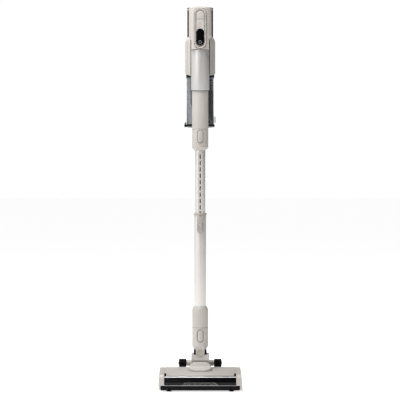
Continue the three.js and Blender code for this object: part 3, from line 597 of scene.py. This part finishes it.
# Each wall of light is a direction, how closely a view must face it for the light to start and to be full,
# and the strengths away from it and towards it.
LIGHT_WALLS = {
    "left": ((-1, -0.12, 0.2), 0.1, 0.95, 0.04, 0.85),
    "right_front": ((0.7, -0.7, 0.12), 0.93, 0.985, 0, 0.5),
    "above": ((-0.3, 0, 1), 0.5, 0.97, 0, 0.9),
    "background": ((0, 1, 0), 0.9, 0.955, 0, 1.02),
    "left_front": ((-0.93, -0.36, 0), 0.86, 0.93, 0, 1.05),
    "side_background": ((-1, 0, 0), 0.9, 0.955, 0, 1.02),
}


def aim(thing, at, target):
    thing.location = at
    thing.rotation_euler = (Vector(target) - Vector(at)).to_track_quat("-Z", "Y").to_euler()


def softbox(name, at, target, size, power):
    """A rectangular light of that size in metres and power in watts."""
    light = bpy.data.lights.new(name, "AREA")
    light.shape = "RECTANGLE"
    light.size, light.size_y = size
    light.energy = power
    holder = bpy.data.objects.new(name, light)
    bpy.context.scene.collection.objects.link(holder)
    aim(holder, at, target)


def studio_world():
    """A dark room with walls of light. Where two overlap, the brighter one counts."""
    world = bpy.data.worlds.new("studio")
    bpy.context.scene.world = world
    world.use_nodes = True
    nodes, links = world.node_tree.nodes, world.node_tree.links
    coordinates = nodes.new("ShaderNodeTexCoord").outputs["Generated"]

    def towards(direction, start, end, low, high):
        """A strength that climbs as the view turns to that direction."""
        product = nodes.new("ShaderNodeVectorMath")
        product.operation = "DOT_PRODUCT"
        product.inputs[1].default_value = Vector(direction).normalized()
        links.new(coordinates, product.inputs[0])
        ranged = nodes.new("ShaderNodeMapRange")
        for socket, value in (("From Min", start), ("From Max", end), ("To Min", low), ("To Max", high)):
            ranged.inputs[socket].default_value = value
        links.new(product.outputs["Value"], ranged.inputs["Value"])
        return ranged.outputs["Result"]

    strength, *others = [towards(*wall) for wall in LIGHT_WALLS.values()]
    for other in others:
        brighter = nodes.new("ShaderNodeMath")
        brighter.operation = "MAXIMUM"
        links.new(strength, brighter.inputs[0])
        links.new(other, brighter.inputs[1])
        strength = brighter.outputs["Value"]
    links.new(strength, nodes["Background"].inputs["Strength"])
    nodes["Background"].inputs["Color"].default_value = (1, 1, 1, 1)


def studio_floor():
    form = bmesh.new()
    bmesh.ops.create_circle(form, cap_ends=True, segments=96, radius=FLOOR_RADIUS)
    mesh = bpy.data.meshes.new("studio_floor")
    form.to_mesh(mesh)
    form.free()
    floor = as_object("studio_floor", mesh)
    finish = Finish("studio_floor_paint", "F6F6F6", 0.85)
    finish.set(Emission_Color=linear("FFFFFF"), Emission_Strength=FLOOR_GLOW, Specular_IOR_Level=0.0)
    floor.data.materials.append(finish.mottle("F3F3F3", 3).material)


def studio():
    scene = bpy.context.scene
    scene.view_settings.view_transform = "Standard"
    scene.view_settings.look = "None"
    camera = bpy.data.cameras.new("camera")
    camera.lens = CAMERA_LENS
    camera.sensor_width = CAMERA_SENSOR
    holder = bpy.data.objects.new("camera", camera)
    scene.collection.objects.link(holder)
    camera.shift_y = CAMERA_SHIFT
    aim(holder, (CAMERA_X, WAND_Y - CAMERA_AWAY, CAMERA_HEIGHT), (CAMERA_X, WAND_Y, CAMERA_HEIGHT))
    scene.camera = holder
    studio_world()
    studio_floor()
    softbox("key", (-1.9, -2.0, 1.8), (0, 0, 0.6), (0.9, 1.8), 16)
    softbox("top", (-0.3, -0.4, 2.4), (0, 0, 0.3), (0.9, 0.9), 38)


# ------------ floor head
def head_shell():
    """The head's lid, open for the neck and notched at the window's corners."""
    lip = [around_brush(WINDOW_R + 0.5, WINDOW_TOP + 0.8), around_brush(WINDOW_R + 0.7, 52)]
    rear = [(14, 7), (11.5, 7)]
    under = [*through(SHELL_UNDER), around_brush(WINDOW_R - WINDOW_WALL, 49)]
    shell = prism("head_shell_form", [*lip, *through(SHELL_TOP), *rear, *under], "X", -SHELL_HALF, SHELL_HALF)
    notch, half = SHELL_HALF - 2.6, 3
    notches = [block("corner_notch", (x - half, -80, 43), (x + half, -54, 56)) for x in (-notch, notch)]
    cut(shell, block("neck_room", (-32, -23, 5), (32, 20, 80)), *notches)
    stand_in(bevel(shell, 0.6))


def corner_plugs():
    """Dark plugs in the shell's notches."""
    outline = [(-68.6, 45.4), (-66.1, 47.5), (-54.2, 49.9), (-54.2, 49.1), (-65.5, 46.8), (-67.6, 45.1)]
    plug, half = SHELL_HALF - 2.8, 2.6
    for side, x in (("left", -plug), ("right", plug)):
        piece = prism(f"{side}_corner_plug", outline, "X", x - half, x + half)
        dress(bevel(piece, 0.15, 2), BODY_OF["head_shell"], "black_rubber")


def head_glass():
    """The dark window, the pale sill under it and the bright trim across it."""
    inner = WINDOW_R - WINDOW_WALL
    window = bevel(strip("front_window_form", WINDOW_R, inner, SILL_TOP, WINDOW_TOP, SHELL_HALF, 48), 0.35, 2)
    hole_r, front = LAMP_R + 0.15, BRUSH_Y - WINDOW_R - 2
    holes = [rod("lamp_hole", hole_r, front, BRUSH_Y, "Y", at, steps=24) for at in lamp_places()]
    stand_in(cut(window, lamp_frame(0.12), *holes))
    sill = strip("window_sill", WINDOW_R, inner, SILL_TOP - 2.1, SILL_TOP - 0.3, SHELL_HALF, 3)
    dress(bevel(sill, 0.2, 2), BODY_OF["front_window"], "silver_trim")
    trim = strip("window_trim_form", WINDOW_R + 1.3, WINDOW_R + GAP, 35, 40.5, SHELL_HALF, 8)
    stand_in(bevel(trim, 0.35, 3), TRIM)


def lamp_frame(growth):
    """The trapezium frame round the lamps, flush with the window; growth widens it, for its recess."""
    low, high = -11.6, 4.4  # degrees round the brush
    foot, head = 54, 43.5  # half widths
    rim, foot_rim, head_rim = 2.1, 2.6, 1.4
    outer, inner = WINDOW_R, WINDOW_R - 1.1
    frame_strip = strip("lamp_frame", outer, inner, low - growth, high + growth, foot + growth, 10)
    bottom, top = around_brush(WINDOW_R, low)[1], around_brush(WINDOW_R, high)[1]

    def trapezium(name, foot_half, head_half, z0, z1):
        outline = [(-foot_half, z0), (foot_half, z0), (head_half, z1), (-head_half, z1)]
        return prism(name, outline, "Y", -90, -60)

    outside = trapezium("lamp_outside", foot + growth, head + growth, bottom - growth, top + growth)
    inside = trapezium("lamp_inside", foot - foot_rim - growth, head - head_rim - growth,
                       bottom + rim - growth, top - rim - growth)
    return cut(shared(frame_strip, outside), inside)


def lamp_places():
    z = around_brush(WINDOW_R, LAMP_ANGLE)[1]
    return [((i - LAMP_COUNT // 2) * LAMP_PITCH, z) for i in range(LAMP_COUNT)]


def head_lamp():
    """A row of small lamps inside their frame."""
    dress(lamp_frame(0), "floor_head", "silver_trim")
    front = around_brush(WINDOW_R, LAMP_ANGLE)[0] + 0.25
    back = front + 2
    profile = [(0, back), (LAMP_R, back), (LAMP_R, front + 0.5), (LAMP_R - 0.7, front), (0, front - 0.1)]
    for i, at in enumerate(lamp_places()):
        lens = turned(f"lamp_{i + 1}", profile, "Y", at, 0.2, 24)
        dress(lens, "floor_head", "smoke_window", LENS)


def bristle(form, foot, tip, top):
    """A thin three-sided bristle between two (X, angle round the roller) places, out to the radius top."""
    thick, foot_r = 0.32, CORE_R + 0.4

    def corner(x, radius, a):
        return form.verts.new((x, BRUSH_Y + radius * math.cos(a), BRUSH_Z + radius * math.sin(a)))

    low, high = [], []
    for k in range(3):
        spread = 2 * math.pi * k / 3
        dx, da = thick * math.cos(spread), thick * math.sin(spread) / CORE_R
        low.append(corner(foot[0] + dx, foot_r, foot[1] + da))
        high.append(corner(tip[0] + dx * 0.6, top, tip[1] + da * 0.5))
    form.faces.new(low[::-1])
    form.faces.new(high)
    for k in range(3):
        j = (k + 1) % 3
        form.faces.new((low[k], low[j], high[j], high[k]))


def brush_tufts():
    """Four helical rows of bristle tufts on the roller."""
    random.seed(4)
    form = bmesh.new()
    rows, tufts, bristles, half, sweep = 4, 62, 9, BRUSH_HIGH.x - 1.5, math.radians(150)
    for row in range(rows):
        for i in range(tufts):
            x = -half + 2 * half * i / (tufts - 1)
            base = 2 * math.pi * row / rows + sweep * abs(x) / half
            for _ in range(bristles):
                a = base + random.uniform(-0.05, 0.05)
                lean_x, lean_a = random.uniform(-1.6, 1.6), random.uniform(-0.07, 0.07)
                root = x + random.uniform(-1.2, 1.2)
                end = max(-half - 1, min(half + 1, root + lean_x))
                bristle(form, (root, a), (end, a + lean_a), BRUSH_R - random.uniform(0.1, 1.0))
    stand_in(in_frame("brush_tufts_form", form))


def floor_head():
    head_shell()
    corner_plugs()
    head_glass()
    head_lamp()
    brush_tufts()
    stand_in(soften(copy_of("duct_cover"), 0.8, 14))
    for side in ("left", "right"):
        stand_in(soften(copy_of(f"{side}_end_cap"), 0.7, 5))


# ------------ neck
def neck_roller(side):
    """A roller with three grooves round its tread and a stepped hub."""
    low, high = span(f"{side}_neck_roller")
    centre = ((low.y + high.y) / 2, (low.z + high.z) / 2)
    radius, length = (high.z - low.z) / 2, high.x - low.x
    bore, hub, face, rim, floor = 2.7, 8.5, 9.2, radius - 1.2, radius - 0.9
    tread = [(bore, 0), (hub, 0), (face, 0.6), (rim, 0.6), (radius - 0.2, 2)]
    for groove in (6.2, 10.8, 15.4):
        tread += [(radius, groove), (floor, groove + 0.3), (floor, groove + 1.1), (radius, groove + 1.4)]
    end = length - 0.6
    tread += [(radius - 0.2, length - 2), (rim, end), (face, end), (hub, length), (bore, length)]
    profile = [(r, low.x + along) for r, along in tread]
    stand_in(turned(f"{side}_neck_roller_form", profile, "X", centre, 0.3))


def neck_socket():
    """The cup that holds the wand, with two cheeks round the swivel drum."""
    foot, foot_half, lip, floor, top = 113.2, 16.5, 122.5, 134, SOCKET_TOP
    profile = [(0, foot), (JOINT_R - 1, foot), (JOINT_R, foot + 1), (JOINT_R, top - 0.8),
               (JOINT_R - 0.8, top), (0, top)]
    cup = turned("neck_socket_form", profile)
    wide = JOINT_R + 2
    face = [(-foot_half, foot - 1), (foot_half, foot - 1), (JOINT_R, lip), (wide, lip + 1), (wide, top + 1),
            (-wide, top + 1), (-wide, lip + 1), (-JOINT_R, lip)]
    shared(cup, prism("face", face, "Y", -30, 30))
    at, room = (0, SWIVEL_Z), 18.2
    for start, end in ((-CHEEK, -room), (room, CHEEK)):
        join(cup, rod("cheek", DISC_R, start, end, "Y", at),
             block("cheek_block", (-DISC_R, start, SWIVEL_Z), (DISC_R, end, lip + 4)))
    cut(cup, rod("drum_room", DRUM_R + 0.6, -room, room, "Y", at),
        rod("cap_recess", 9.5, -CHEEK - 1, -CHEEK + 2.1, "Y", at),
        rod("pin_hole", 4.3, -CHEEK + 1, -15, "Y", at),
        rod("bore", SOCKET_R, floor, top + 1), rod("airway", 10, 100, floor + 1),
        key_pocket("head_release_key", -19))
    join(cup, rod("trunnion", 4, 11, 20, "Y", at))
    stand_in(soften(cup, 0.7, 5))


def key_pocket(key, depth):
    """The room of a release key, with a gap round it that shows its outline."""
    low, high = span(key)
    return pill("pocket", KEY_HALF + KEY_GAP, low.z - KEY_GAP, high.z + KEY_GAP, -30, depth)


def release_key(node):
    """A pill that follows the coupling's curve, with a pressed dot under its middle."""
    low, high = span(node)
    key = pill(f"{node}_form", KEY_HALF - KEY_INSET, low.z + KEY_INSET, high.z - KEY_INSET, low.y, high.y)
    shared(key, rod("curve", JOINT_R + KEY_PROUD, low.z - 5, high.z + 5))
    bevel(key, 0.7)
    middle = (low.z + high.z) / 2
    cut(key, rod("dot", 1.6, -40, -JOINT_R - KEY_PROUD + 1.1, "Y", (0, middle - 5), steps=24))
    stand_in(key)


def swivel_pin():
    """The swivel's pin, with a dished cap on the neck's front."""
    front, back = (corner.y for corner in span("swivel_pin"))
    cap, shank = 9.2, 4
    profile = [(0, front + 0.9), (5.2, front + 0.9), (6.2, front + 0.1), (8.2, front), (cap, front + 0.8),
               (cap, front + 2.1), (shank, front + 2.1), (shank, back), (0, back)]
    stand_in(turned("swivel_pin_form", profile, "Y", (0, SWIVEL_Z), 0.4), SLOTS["warm_grey"])


def neck_yoke():
    """The yoke, cut back above the airway cover, where a shadow line parts the two."""
    yoke = cut(copy_of("neck_yoke"), block("shadow_line", (-30, -30, 70), (30, -17.8, 81.2)))
    stand_in(soften(yoke, 0.9, 9))


def neck():
    neck_yoke()
    neck_socket()
    swivel_pin()
    release_key("head_release_key")
    neck_roller("left")
    neck_roller("right")


# ------------ wand
def lower_coupler():
    """The spigot that goes into the neck, and the grip round the outer tube."""
    low, high = span("wand_lower_coupler")
    seat = low.z + SPIGOT_LENGTH
    straight, bore, step = 229.5, TUBE_R + GAP, span("outer_tube")[0].z - GAP
    spigot = [(AIRWAY_R, low.z), (SPIGOT_R - 1, low.z), (SPIGOT_R, low.z + 2), (SPIGOT_R, seat)]
    grip = [(JOINT_R - 0.8, seat), (JOINT_R, seat + 0.8), (JOINT_R, straight), (JOINT_R - 2, straight + 6)]
    profile = [*spigot, *grip, (18.8, high.z), (bore, high.z), (bore, step), (AIRWAY_R, step)]
    stand_in(turned("wand_lower_coupler_form", profile, radius=0.8))


def outer_tube():
    low, high = span("outer_tube")
    stand_in(ring("outer_tube_form", TUBE_R - 1.5, TUBE_R, low.z, high.z))


def tube_collar():
    """The ring over the outer tube's mouth, round the inner tube."""
    low, high = span("tube_collar")
    bore, room, over = INNER_R + GAP, TUBE_R + GAP, span("outer_tube")[1].z + GAP
    profile = [(bore, over), (room, over), (room, low.z), (high.x, low.z), (high.x, high.z - 1),
               (high.x - 1, high.z), (bore, high.z)]
    stand_in(turned("tube_collar_form", profile, radius=0.4), SLOTS["warm_grey"])


def inner_tube():
    """The sliding tube, with a flat track down its front and a row of slots for the lock."""
    low, high = span("inner_tube")
    tube = ring("inner_tube_form", INNER_R - INNER_WALL, INNER_R, low.z, high.z)
    slots, reach = [], SLOT_HEIGHT / 2
    for i in range(SLOT_COUNT):
        middle = SLOT_FIRST - SLOT_PITCH * i
        slots.append(block(f"slot_{i}", (-SLOT_HALF, -20, middle - reach), (SLOT_HALF, -10, middle + reach)))
    cut(tube, pill("track", 7, low.z + 8, 700, -20, -13.9), *slots)
    stand_in(tube)


def upper_coupler():
    """The grip round the inner tube, and the spigot that goes into the hand unit."""
    low, high = span("wand_upper_coupler")
    bore, inner, step = INNER_R + GAP, INNER_R - INNER_WALL, span("inner_tube")[1].z + GAP
    seat = high.z - SPIGOT_LENGTH
    grip = [(17.8, low.z), (21.5, low.z + 4), (JOINT_R, low.z + 8.9), (JOINT_R, seat - 0.8),
            (JOINT_R - 0.8, seat)]
    spigot = [(SPIGOT_R, seat), (SPIGOT_R, high.z - 2), (SPIGOT_R - 1, high.z), (inner, high.z)]
    profile = [(bore, low.z), *grip, *spigot, (inner, step), (bore, step)]
    coupler = turned("wand_upper_coupler_form", profile, radius=0.8)
    cut(coupler, key_pocket("wand_release_key", -19.5))
    stand_in(coupler)


def lock_slider():
    """The thumb slider: rounded below, with a scooped grip and a slit beside it."""
    low, high = span("lock_slider")
    half, bottom, top = high.x, low.z, high.z
    chin = [(-half, bottom + 9), (-half + 1, bottom + 2, 0, bottom), (half - 1, bottom + 2, half, bottom + 9)]
    crown = [(half, top - 3), (half, top, half - 3, top), (-half + 3, top), (-half, top, -half, top - 3)]
    outline = path(*chin, *crown)
    slider = prism("lock_slider_form", outline, "Y", low.y, -10)
    shared(slider, rod("curve", -low.y, bottom - 1, top + 1))
    cut(slider, rod("tube_room", TUBE_R + GAP, bottom - 1, top + 1))
    bevel(slider, 0.6)
    cut(slider, rod("scoop", 30, -6.8, 6.8, "X", (low.y - 27.6, bottom + 17)),
        block("slit", (half - 3.4, low.y - 1, bottom + 11), (half - 1.8, low.y + 4.5, bottom + 33)))
    stand_in(slider)


def wand():
    lower_coupler()
    outer_tube()
    tube_collar()
    inner_tube()
    upper_coupler()
    lock_slider()
    release_key("wand_release_key")


# ------------ hand unit
def inlet_sleeve():
    low, high = span("inlet_sleeve")
    reach, under = low.z + SPIGOT_LENGTH + 1, high.z - 4
    profile = [(SOCKET_R, low.z), (JOINT_R - 0.8, low.z), (JOINT_R, low.z + 0.8), (JOINT_R, high.z),
               (0, high.z), (0, under), (AIRWAY_R, under), (AIRWAY_R, reach), (SOCKET_R, reach)]
    sleeve = turned("inlet_sleeve_form", profile, radius=0.6)
    cut(sleeve, block("port", (-9, 12, 886), (9, 30, 904)))
    stand_in(sleeve)


def pipe_cover():
    """The bright half-pipe, its lower edge dipping towards the front, and a black ring inside it that paints
    the shade under that edge.
    """
    low, high = span("pipe_cover")
    radius, side, drop = high.x, low.z + 4.9, 1.8
    below = [(-40, low.z - 20), (-radius, low.z), (0, side), (40, side), (40, low.z - 20)]

    def trimmed(piece, back, lower):
        """The piece without what lies behind, and below the dipping edge or a lower one."""
        outline = [(y, z - lower) for y, z in below]
        behind = block("behind", (-40, back, low.z - 5), (40, 40, high.z + 5))
        return cut(piece, behind, prism("below", outline, "X", -40, 40))

    cover = ring("pipe_cover_form", radius - 2.4, radius, low.z - 1, high.z, edge=0.2)
    stand_in(bevel(trimmed(cover, 14, 0), 0.5))
    # A black ring just under the cover's lower edge: painted shade along that edge.
    shade_piece = ring("pipe_seal", JOINT_R + 0.1, radius - 1.2, low.z - drop, low.z + 12, edge=0.1)
    dress(trimmed(shade_piece, 13, drop), BODY_OF["pipe_cover"], "black_rubber")


def cover_plan(inset, back):
    half, front = COVER_HALF - inset, COVER_FRONT + inset
    return path((half, back), (half, -6), (half, -20, half - 10, front, 0, front),
                (-half + 10, front, -half, -20, -half, -6), (-half, back), steps=20)


def front_cover():
    half, waist, base, top = COVER_HALF, COVER_WAIST, COVER_BASE, COVER_BACK_TOP
    front, back, crest = COVER_FRONT, COVER_BACK, COVER_TOP
    face = path((-waist, base), (-waist, 1038), (-waist, 1043, -half, 1047), (-half, top - 11),
                (-half, top, -half + 11, top), (half - 11, top), (half, top, half, top - 11), (half, 1047),
                (waist, 1043, waist, 1038), (waist, base))
    side = [(front - 1, base - 5), (front - 1, crest - 5), (front + 1, crest - 1.5), (front + 5, crest),
            (back + 1, top), (back + 1, base - 5)]
    cover = prism("front_cover_form", cover_plan(0, back), "Z", base, top)
    shared(cover, prism("face", face, "Y", front - 1, back + 1),
           prism("side", side, "X", -half - 1, half + 1))
    room_half = waist - COVER_WALL
    room = prism("room", cover_plan(COVER_WALL, back + 2), "Z", base - 1, crest - 3)
    shared(room, block("room_block", (-room_half, front, base - 2), (room_half, back + 3, top)))
    cut(cover, room, pill("panel_room", PANEL_HALF + 0.9, PANEL_LOW - 0.9, PANEL_HIGH + 0.9, -40, -20))
    stand_in(soften(cover, 0.8, 7))


def panel():
    """The raised stadium with the glossy display and, above it, the two keys."""
    front, back = PANEL_FRONT - 1, span("panel_bezel")[1].y
    bezel = pill("panel_bezel_form", PANEL_HALF, PANEL_LOW, PANEL_HIGH, PANEL_FRONT, back, 40)
    foot, head = PANEL_LOW + PANEL_RIM, PANEL_HIGH - PANEL_RIM
    well = pill("well", PANEL_INNER, foot, head, front, PANEL_FLOOR, 32)
    stand_in(bevel(cut(bezel, well), 1.2, 5), degrees=50)

    low, high = span("display_lens")
    lens = pill("display_lens_form", DISPLAY_HALF, low.z, high.z, low.y, high.y, 32)
    stand_in(bevel(lens, 0.8, 4), degrees=50)
    mark = ring("display_ring", 3, 5, low.y - 0.12, low.y + 0.2, "Y", (0, low.z + 9.4), 0.05, 48)
    dress(mark, "hand_unit", "warm_grey", ICON)

    foot, head = PANEL_LOW + KEY_RIM, PANEL_HIGH - KEY_RIM - 0.3
    for node in ("mode_key", "power_key"):
        low, high = span(node)
        key = pill(f"{node}_form", DISPLAY_HALF, foot, head, low.y, high.y, 32)
        cut(key, pill("display_room", DISPLAY_HALF + 0.4, foot, DISPLAY_TOP + 0.4, front, PANEL_FLOOR, 32))
        shared(key, block("share", (-PANEL_INNER, front, low.z), (PANEL_INNER, PANEL_FLOOR, high.z)))
        bevel(key, 0.5)
        if node == "mode_key":
            cut(key, rod("dot", 1.3, low.y - 5, low.y + 1, "Y", (0, high.z - 11), steps=24))
        stand_in(key)


def barrel_slot(angle, depth, half, low, high):
    """An upright slot in the barrel's skin, at that angle round its axis and down to that radius."""
    a = math.radians(angle)
    out, across = Vector((math.cos(a), math.sin(a))), Vector((-math.sin(a), math.cos(a)))
    centre = Vector((0, BODY_Y))
    corners = ((depth, -half), (50, -half), (50, half), (depth, half))
    return prism("slot", [tuple(centre + out * r + across * w) for r, w in corners], "Z", low, high)


def motor_housing():
    """The barrel behind the front cover, with a fan of vents across its back."""
    radius, wall, front, top = HOUSING_R, HOUSING_WALL, HOUSING_LOW, HOUSING_HIGH
    side, straight = front + 12.5, 1037
    profile = [(radius - wall, front), (radius, front), (radius, straight), (radius - 1.6, straight + 8),
               (FILTER_R + 0.6, top), (FILTER_INNER, top), (FILTER_INNER, top - 3), (radius - 6, top - 3),
               (radius - wall, straight - 2)]
    body = turned("motor_housing_form", profile, centre=BODY_AXIS, radius=0.8)
    below = [(0, 900), (0, front), (BODY_Y - 41, front), (BODY_Y, side), (130, side), (130, 900)]
    cut(body, prism("below", below, "X", -60, 60),
        block("cover_room", (-COVER_HALF - 0.5, 10, 1003), (COVER_HALF + 0.5, COVER_BACK + 0.5, top + 5)))
    vents = [barrel_slot(angle, 38, 1, 984, 1020) for angle in (8, 16, 24, 32, 40, 140, 148, 156, 164, 172)]
    pleats = [barrel_slot(angle, radius - 1.3, 0.6, front - 5, straight + 4) for angle in (-35, 215)]
    cut(body, *vents, *pleats)
    stand_in(body)
    # Black strips in the gaps between the pipe cover and the barrel: painted shade in those gaps.
    for side, inner, outer in (("left", -29.2, -27.4), ("right", 27.4, 29.2)):
        shade_piece = block(f"housing_seal_{side}", (inner, 24.6, front + 4), (outer, 29.5, straight + 3))
        dress(bevel(shade_piece, 0.4, 2), BODY_OF["motor_housing"], "black_rubber")


def fluted(name, outer, inner, low, high, ribs, depth):
    """A ring about the barrel's axis, with upright ribs round its outside."""
    form = bmesh.new()
    count = ribs * 4
    rings = []
    for k in range(count):
        a = 2 * math.pi * k / count
        r = outer if k % 4 in (0, 1) else outer - depth
        out = Vector((math.cos(a), math.sin(a)))
        edge = [(inner, low), (r - 0.4, low), (r, low + 0.4), (r, high - 0.4), (r - 0.4, high), (inner, high)]
        rings.append([form.verts.new((out.x * d, BODY_Y + out.y * d, z)) for d, z in edge])
    return skinned(name, form, rings, edge)


def filter_stack():
    low, _ = span("exhaust_filter")
    ribbed = fluted("exhaust_filter_form", FILTER_R, FILTER_INNER, low.z, FILTER_TOP - 3, 72, 1.1)
    stand_in(ribbed, degrees=25)
    seat = FILTER_TOP - 2.8
    band = ring("filter_band", FILTER_INNER, FILTER_R, seat, FILTER_TOP, centre=BODY_AXIS, edge=0.5)
    dress(band, BODY_OF["exhaust_filter"], "beige_shell")
    low, high = span("top_cap")
    dish = high.z - 1.6
    profile = [(0, low.z), (high.x, low.z), (high.x, high.z), (34, high.z), (31, dish), (0, dish)]
    cap = turned("top_cap_form", profile, centre=BODY_AXIS, radius=0.3)
    slope = [(20, low.z + 0.6), (BODY_Y - 6, high.z + 0.1), (20, high.z + 2)]
    stand_in(cut(cap, prism("slope", slope, "X", -50, 50)))


def handle():
    """The D-shaped handle, on the barrel's back and over the battery."""
    back, low = span("handle")[1].y - 2, span("handle")[0].z
    reach = back + 2
    loop = path((104, low + 5), (112, low), (back, low), (reach, low + 30, reach - 1, 1020),
                (reach, 1062, reach - 6, 1078), (reach - 14, 1090, 150, 1086), (122, 1076, 108, 1050),
                (104, 1046))
    gap = path((120, 974), (120, 964, 130, 964), (138, 964), (147, 964, 147, 974), (146, 1040),
               (144, 1052, 132, 1042), (120, 1030, 120, 1014))
    grip = prism("handle_form", loop, "X", -16, 16)
    shared(grip, prism("plan", rounded_rectangle(-16, 16, 60, reach, 13), "Z", 900, 1100))
    cut(grip, prism("finger_gap", gap, "X", -20, 20))
    join(grip, prism("foot", rounded_rectangle(-22, 22, 116, back, 8), "Z", low, low + 14))
    cut(grip, rod("barrel", HOUSING_R + GAP, 900, 1100, centre=BODY_AXIS))
    stand_in(soften(grip, 1.0, 24))


def hand_unit():
    inlet_sleeve()
    pipe_cover()
    front_cover()
    panel()
    motor_housing()
    filter_stack()
    handle()


# ------------ dust bin and battery
def sleeve_room():
    return rod("sleeve_room", JOINT_R + 0.5, 700, 1000)


def bin_cup():
    cup = ring("bin_cup_form", BIN_R - BIN_WALL, BIN_R, BIN_LOW, BIN_HIGH, centre=BODY_AXIS)
    join(cup, block("latch_pad", (BIN_R - 1, BODY_Y - 7, BIN_LOW), (BIN_R + 1.2, BODY_Y + 7, BIN_LOW + 26)))
    cut(cup, sleeve_room(), block("inlet", (-10, 20, 885), (10, 32, 905)))
    stand_in(cup)


def bin_baffle():
    """A dark wall inside the bin, on its right: painted shade on that side of the cup."""
    arc = [math.radians(-62 + 150 * k / 40) for k in range(41)]
    sides = ((38.6, arc), (37.2, arc[::-1]))
    outline = [(r * math.cos(a), BODY_Y + r * math.sin(a)) for r, angles in sides for a in angles]
    wall = prism("bin_baffle", outline, "Z", BIN_LOW + 4, BIN_HIGH - 3)
    dress(bevel(wall, 0.4, 2), BODY_OF["bin_cup"], "black_plastic")


def bin_lid():
    low, _ = span("bin_lid")
    hinge, rim = 783.4, BIN_LOW - 0.6
    profile = [(0, low.z), (LID_R - 1.5, low.z), (LID_R, low.z + 1.5), (LID_R, BIN_LOW - 2.3),
               (LID_R - 1, rim), (0, rim)]
    lid = turned("bin_lid_form", profile, centre=BODY_AXIS, radius=0.4)
    at = (-LID_R - 1, hinge)
    reach = BODY_Y - 20, BODY_Y + 20
    eyes = [rod("eye_room", 3.9, start, start + 5, "Y", at, steps=32) for start in (BODY_Y - 17, BODY_Y + 12)]
    cut(lid, *eyes, block("sleeve_side", (-60, -10, 770), (60, JOINT_R + 0.7, 800)),
        rod("pin_bore", 1.8, *reach, "Y", at, steps=24))
    knuckle = rod("knuckle", 3.4, BODY_Y - 12, BODY_Y + 12, "Y", at, steps=32)
    join(lid, cut(knuckle, rod("pin_bore", 1.8, *reach, "Y", at, steps=24)))
    stand_in(lid)


def mesh_shroud():
    """The metal screen inside the bin: rows of eight-sided holes in a rolled sheet, under a solid flange."""
    low, high = span("mesh_shroud")
    radius, wall, flange = 30, 1.4, high.x
    columns, rows = 72, 24
    bottom, top = low.z, high.z - 4
    form = bmesh.new()
    cell_a, cell_z = 2 * math.pi / columns, (top - bottom) / rows
    corner = [(0, 0), (0.5, 0), (1, 0), (1, 0.5), (1, 1), (0.5, 1), (0, 1), (0, 0.5)]
    turns = [math.radians(225 + 45 * k) for k in range(8)]
    hole = [(0.5 + 0.31 * math.cos(turn), 0.5 + 0.31 * math.sin(turn)) for turn in turns]

    def at(r, a, z):
        return form.verts.new((r * math.cos(a), BODY_Y + r * math.sin(a), z))

    for column in range(columns):
        for row in range(rows):
            a0, z0 = column * cell_a, bottom + row * cell_z
            loops = [[at(r, a0 + u * cell_a, z0 + v * cell_z) for u, v in points]
                     for r in (radius, radius - wall) for points in (corner, hole)]
            outer, outer_hole, inner, inner_hole = loops
            for k in range(8):
                j = (k + 1) % 8
                form.faces.new((outer[k], outer[j], outer_hole[j], outer_hole[k]))
                form.faces.new((inner[j], inner[k], inner_hole[k], inner_hole[j]))
                form.faces.new((outer_hole[k], outer_hole[j], inner_hole[j], inner_hole[k]))
                if (row == 0 and k in (0, 1)) or (row == rows - 1 and k in (4, 5)):
                    form.faces.new((outer[j], outer[k], inner[k], inner[j]))
    stand_in(closed("mesh_shroud_form", form))
    lid = ring("shroud_flange", radius - wall, flange, top + 0.1, high.z, centre=BODY_AXIS, edge=0.4)
    dress(lid, BODY_OF["mesh_shroud"], "steel")


def cyclone_cone():
    low, high = span("cyclone_cone")
    top = high.z
    profile = [(9, low.z + 1), (11, low.z), (28, top - 7.6), (30, top), (27.5, top), (26, top - 6.6)]
    stand_in(turned("cyclone_cone_form", profile, centre=BODY_AXIS, radius=0.3))


def battery_case():
    low, high = span("battery_case")
    wall = 1.8
    case = prism("battery_case_form", rounded_rectangle(low.x, high.x, low.y, high.y, 8), "Z", low.z, high.z)
    room = rounded_rectangle(low.x + wall, high.x - wall, low.y + wall, high.y - wall, 6.5)
    cut(case, prism("room", room, "Z", low.z + wall, high.z + 1))
    grooves = []
    for i in range(5):
        z = low.z + 22 + 5 * i
        for x0, x1 in ((low.x - 1, low.x + 0.7), (high.x - 0.7, high.x + 1)):
            grooves.append(block("groove", (x0, low.y + 16, z), (x1, high.y - 16, z + 1.8)))
    bevel(case, 1.2, 4)
    stand_in(cut(case, *grooves))


def dust_bin_and_battery():
    bin_cup()
    bin_baffle()
    bin_lid()
    mesh_shroud()
    cyclone_cone()
    battery_case()


# ------------ the CAD solids that stay
def finish_kept_nodes(replaced):
    """Every CAD node still shown gets its slot's material and a small radius on its edges."""
    for node, piece in frame["nodes"].items():
        if node in replaced:
            continue
        material = FOAM if node == "foam_filter" else SLOTS[SLOT_OF[node]]
        piece.data.materials.clear()
        piece.data.materials.append(material)
        piece.data.shade_smooth()
        edge_radius(piece, 0.4, 2).harden_normals = True
        piece.modifiers.new("normals", "WEIGHTED_NORMAL").keep_sharp = True


studio()
floor_head()
neck()
wand()
hand_unit()
dust_bin_and_battery()
REPLACED = {piece.name.removesuffix("_form") for piece in bpy.data.objects if piece.name.endswith("_form")}
finish_kept_nodes(REPLACED)
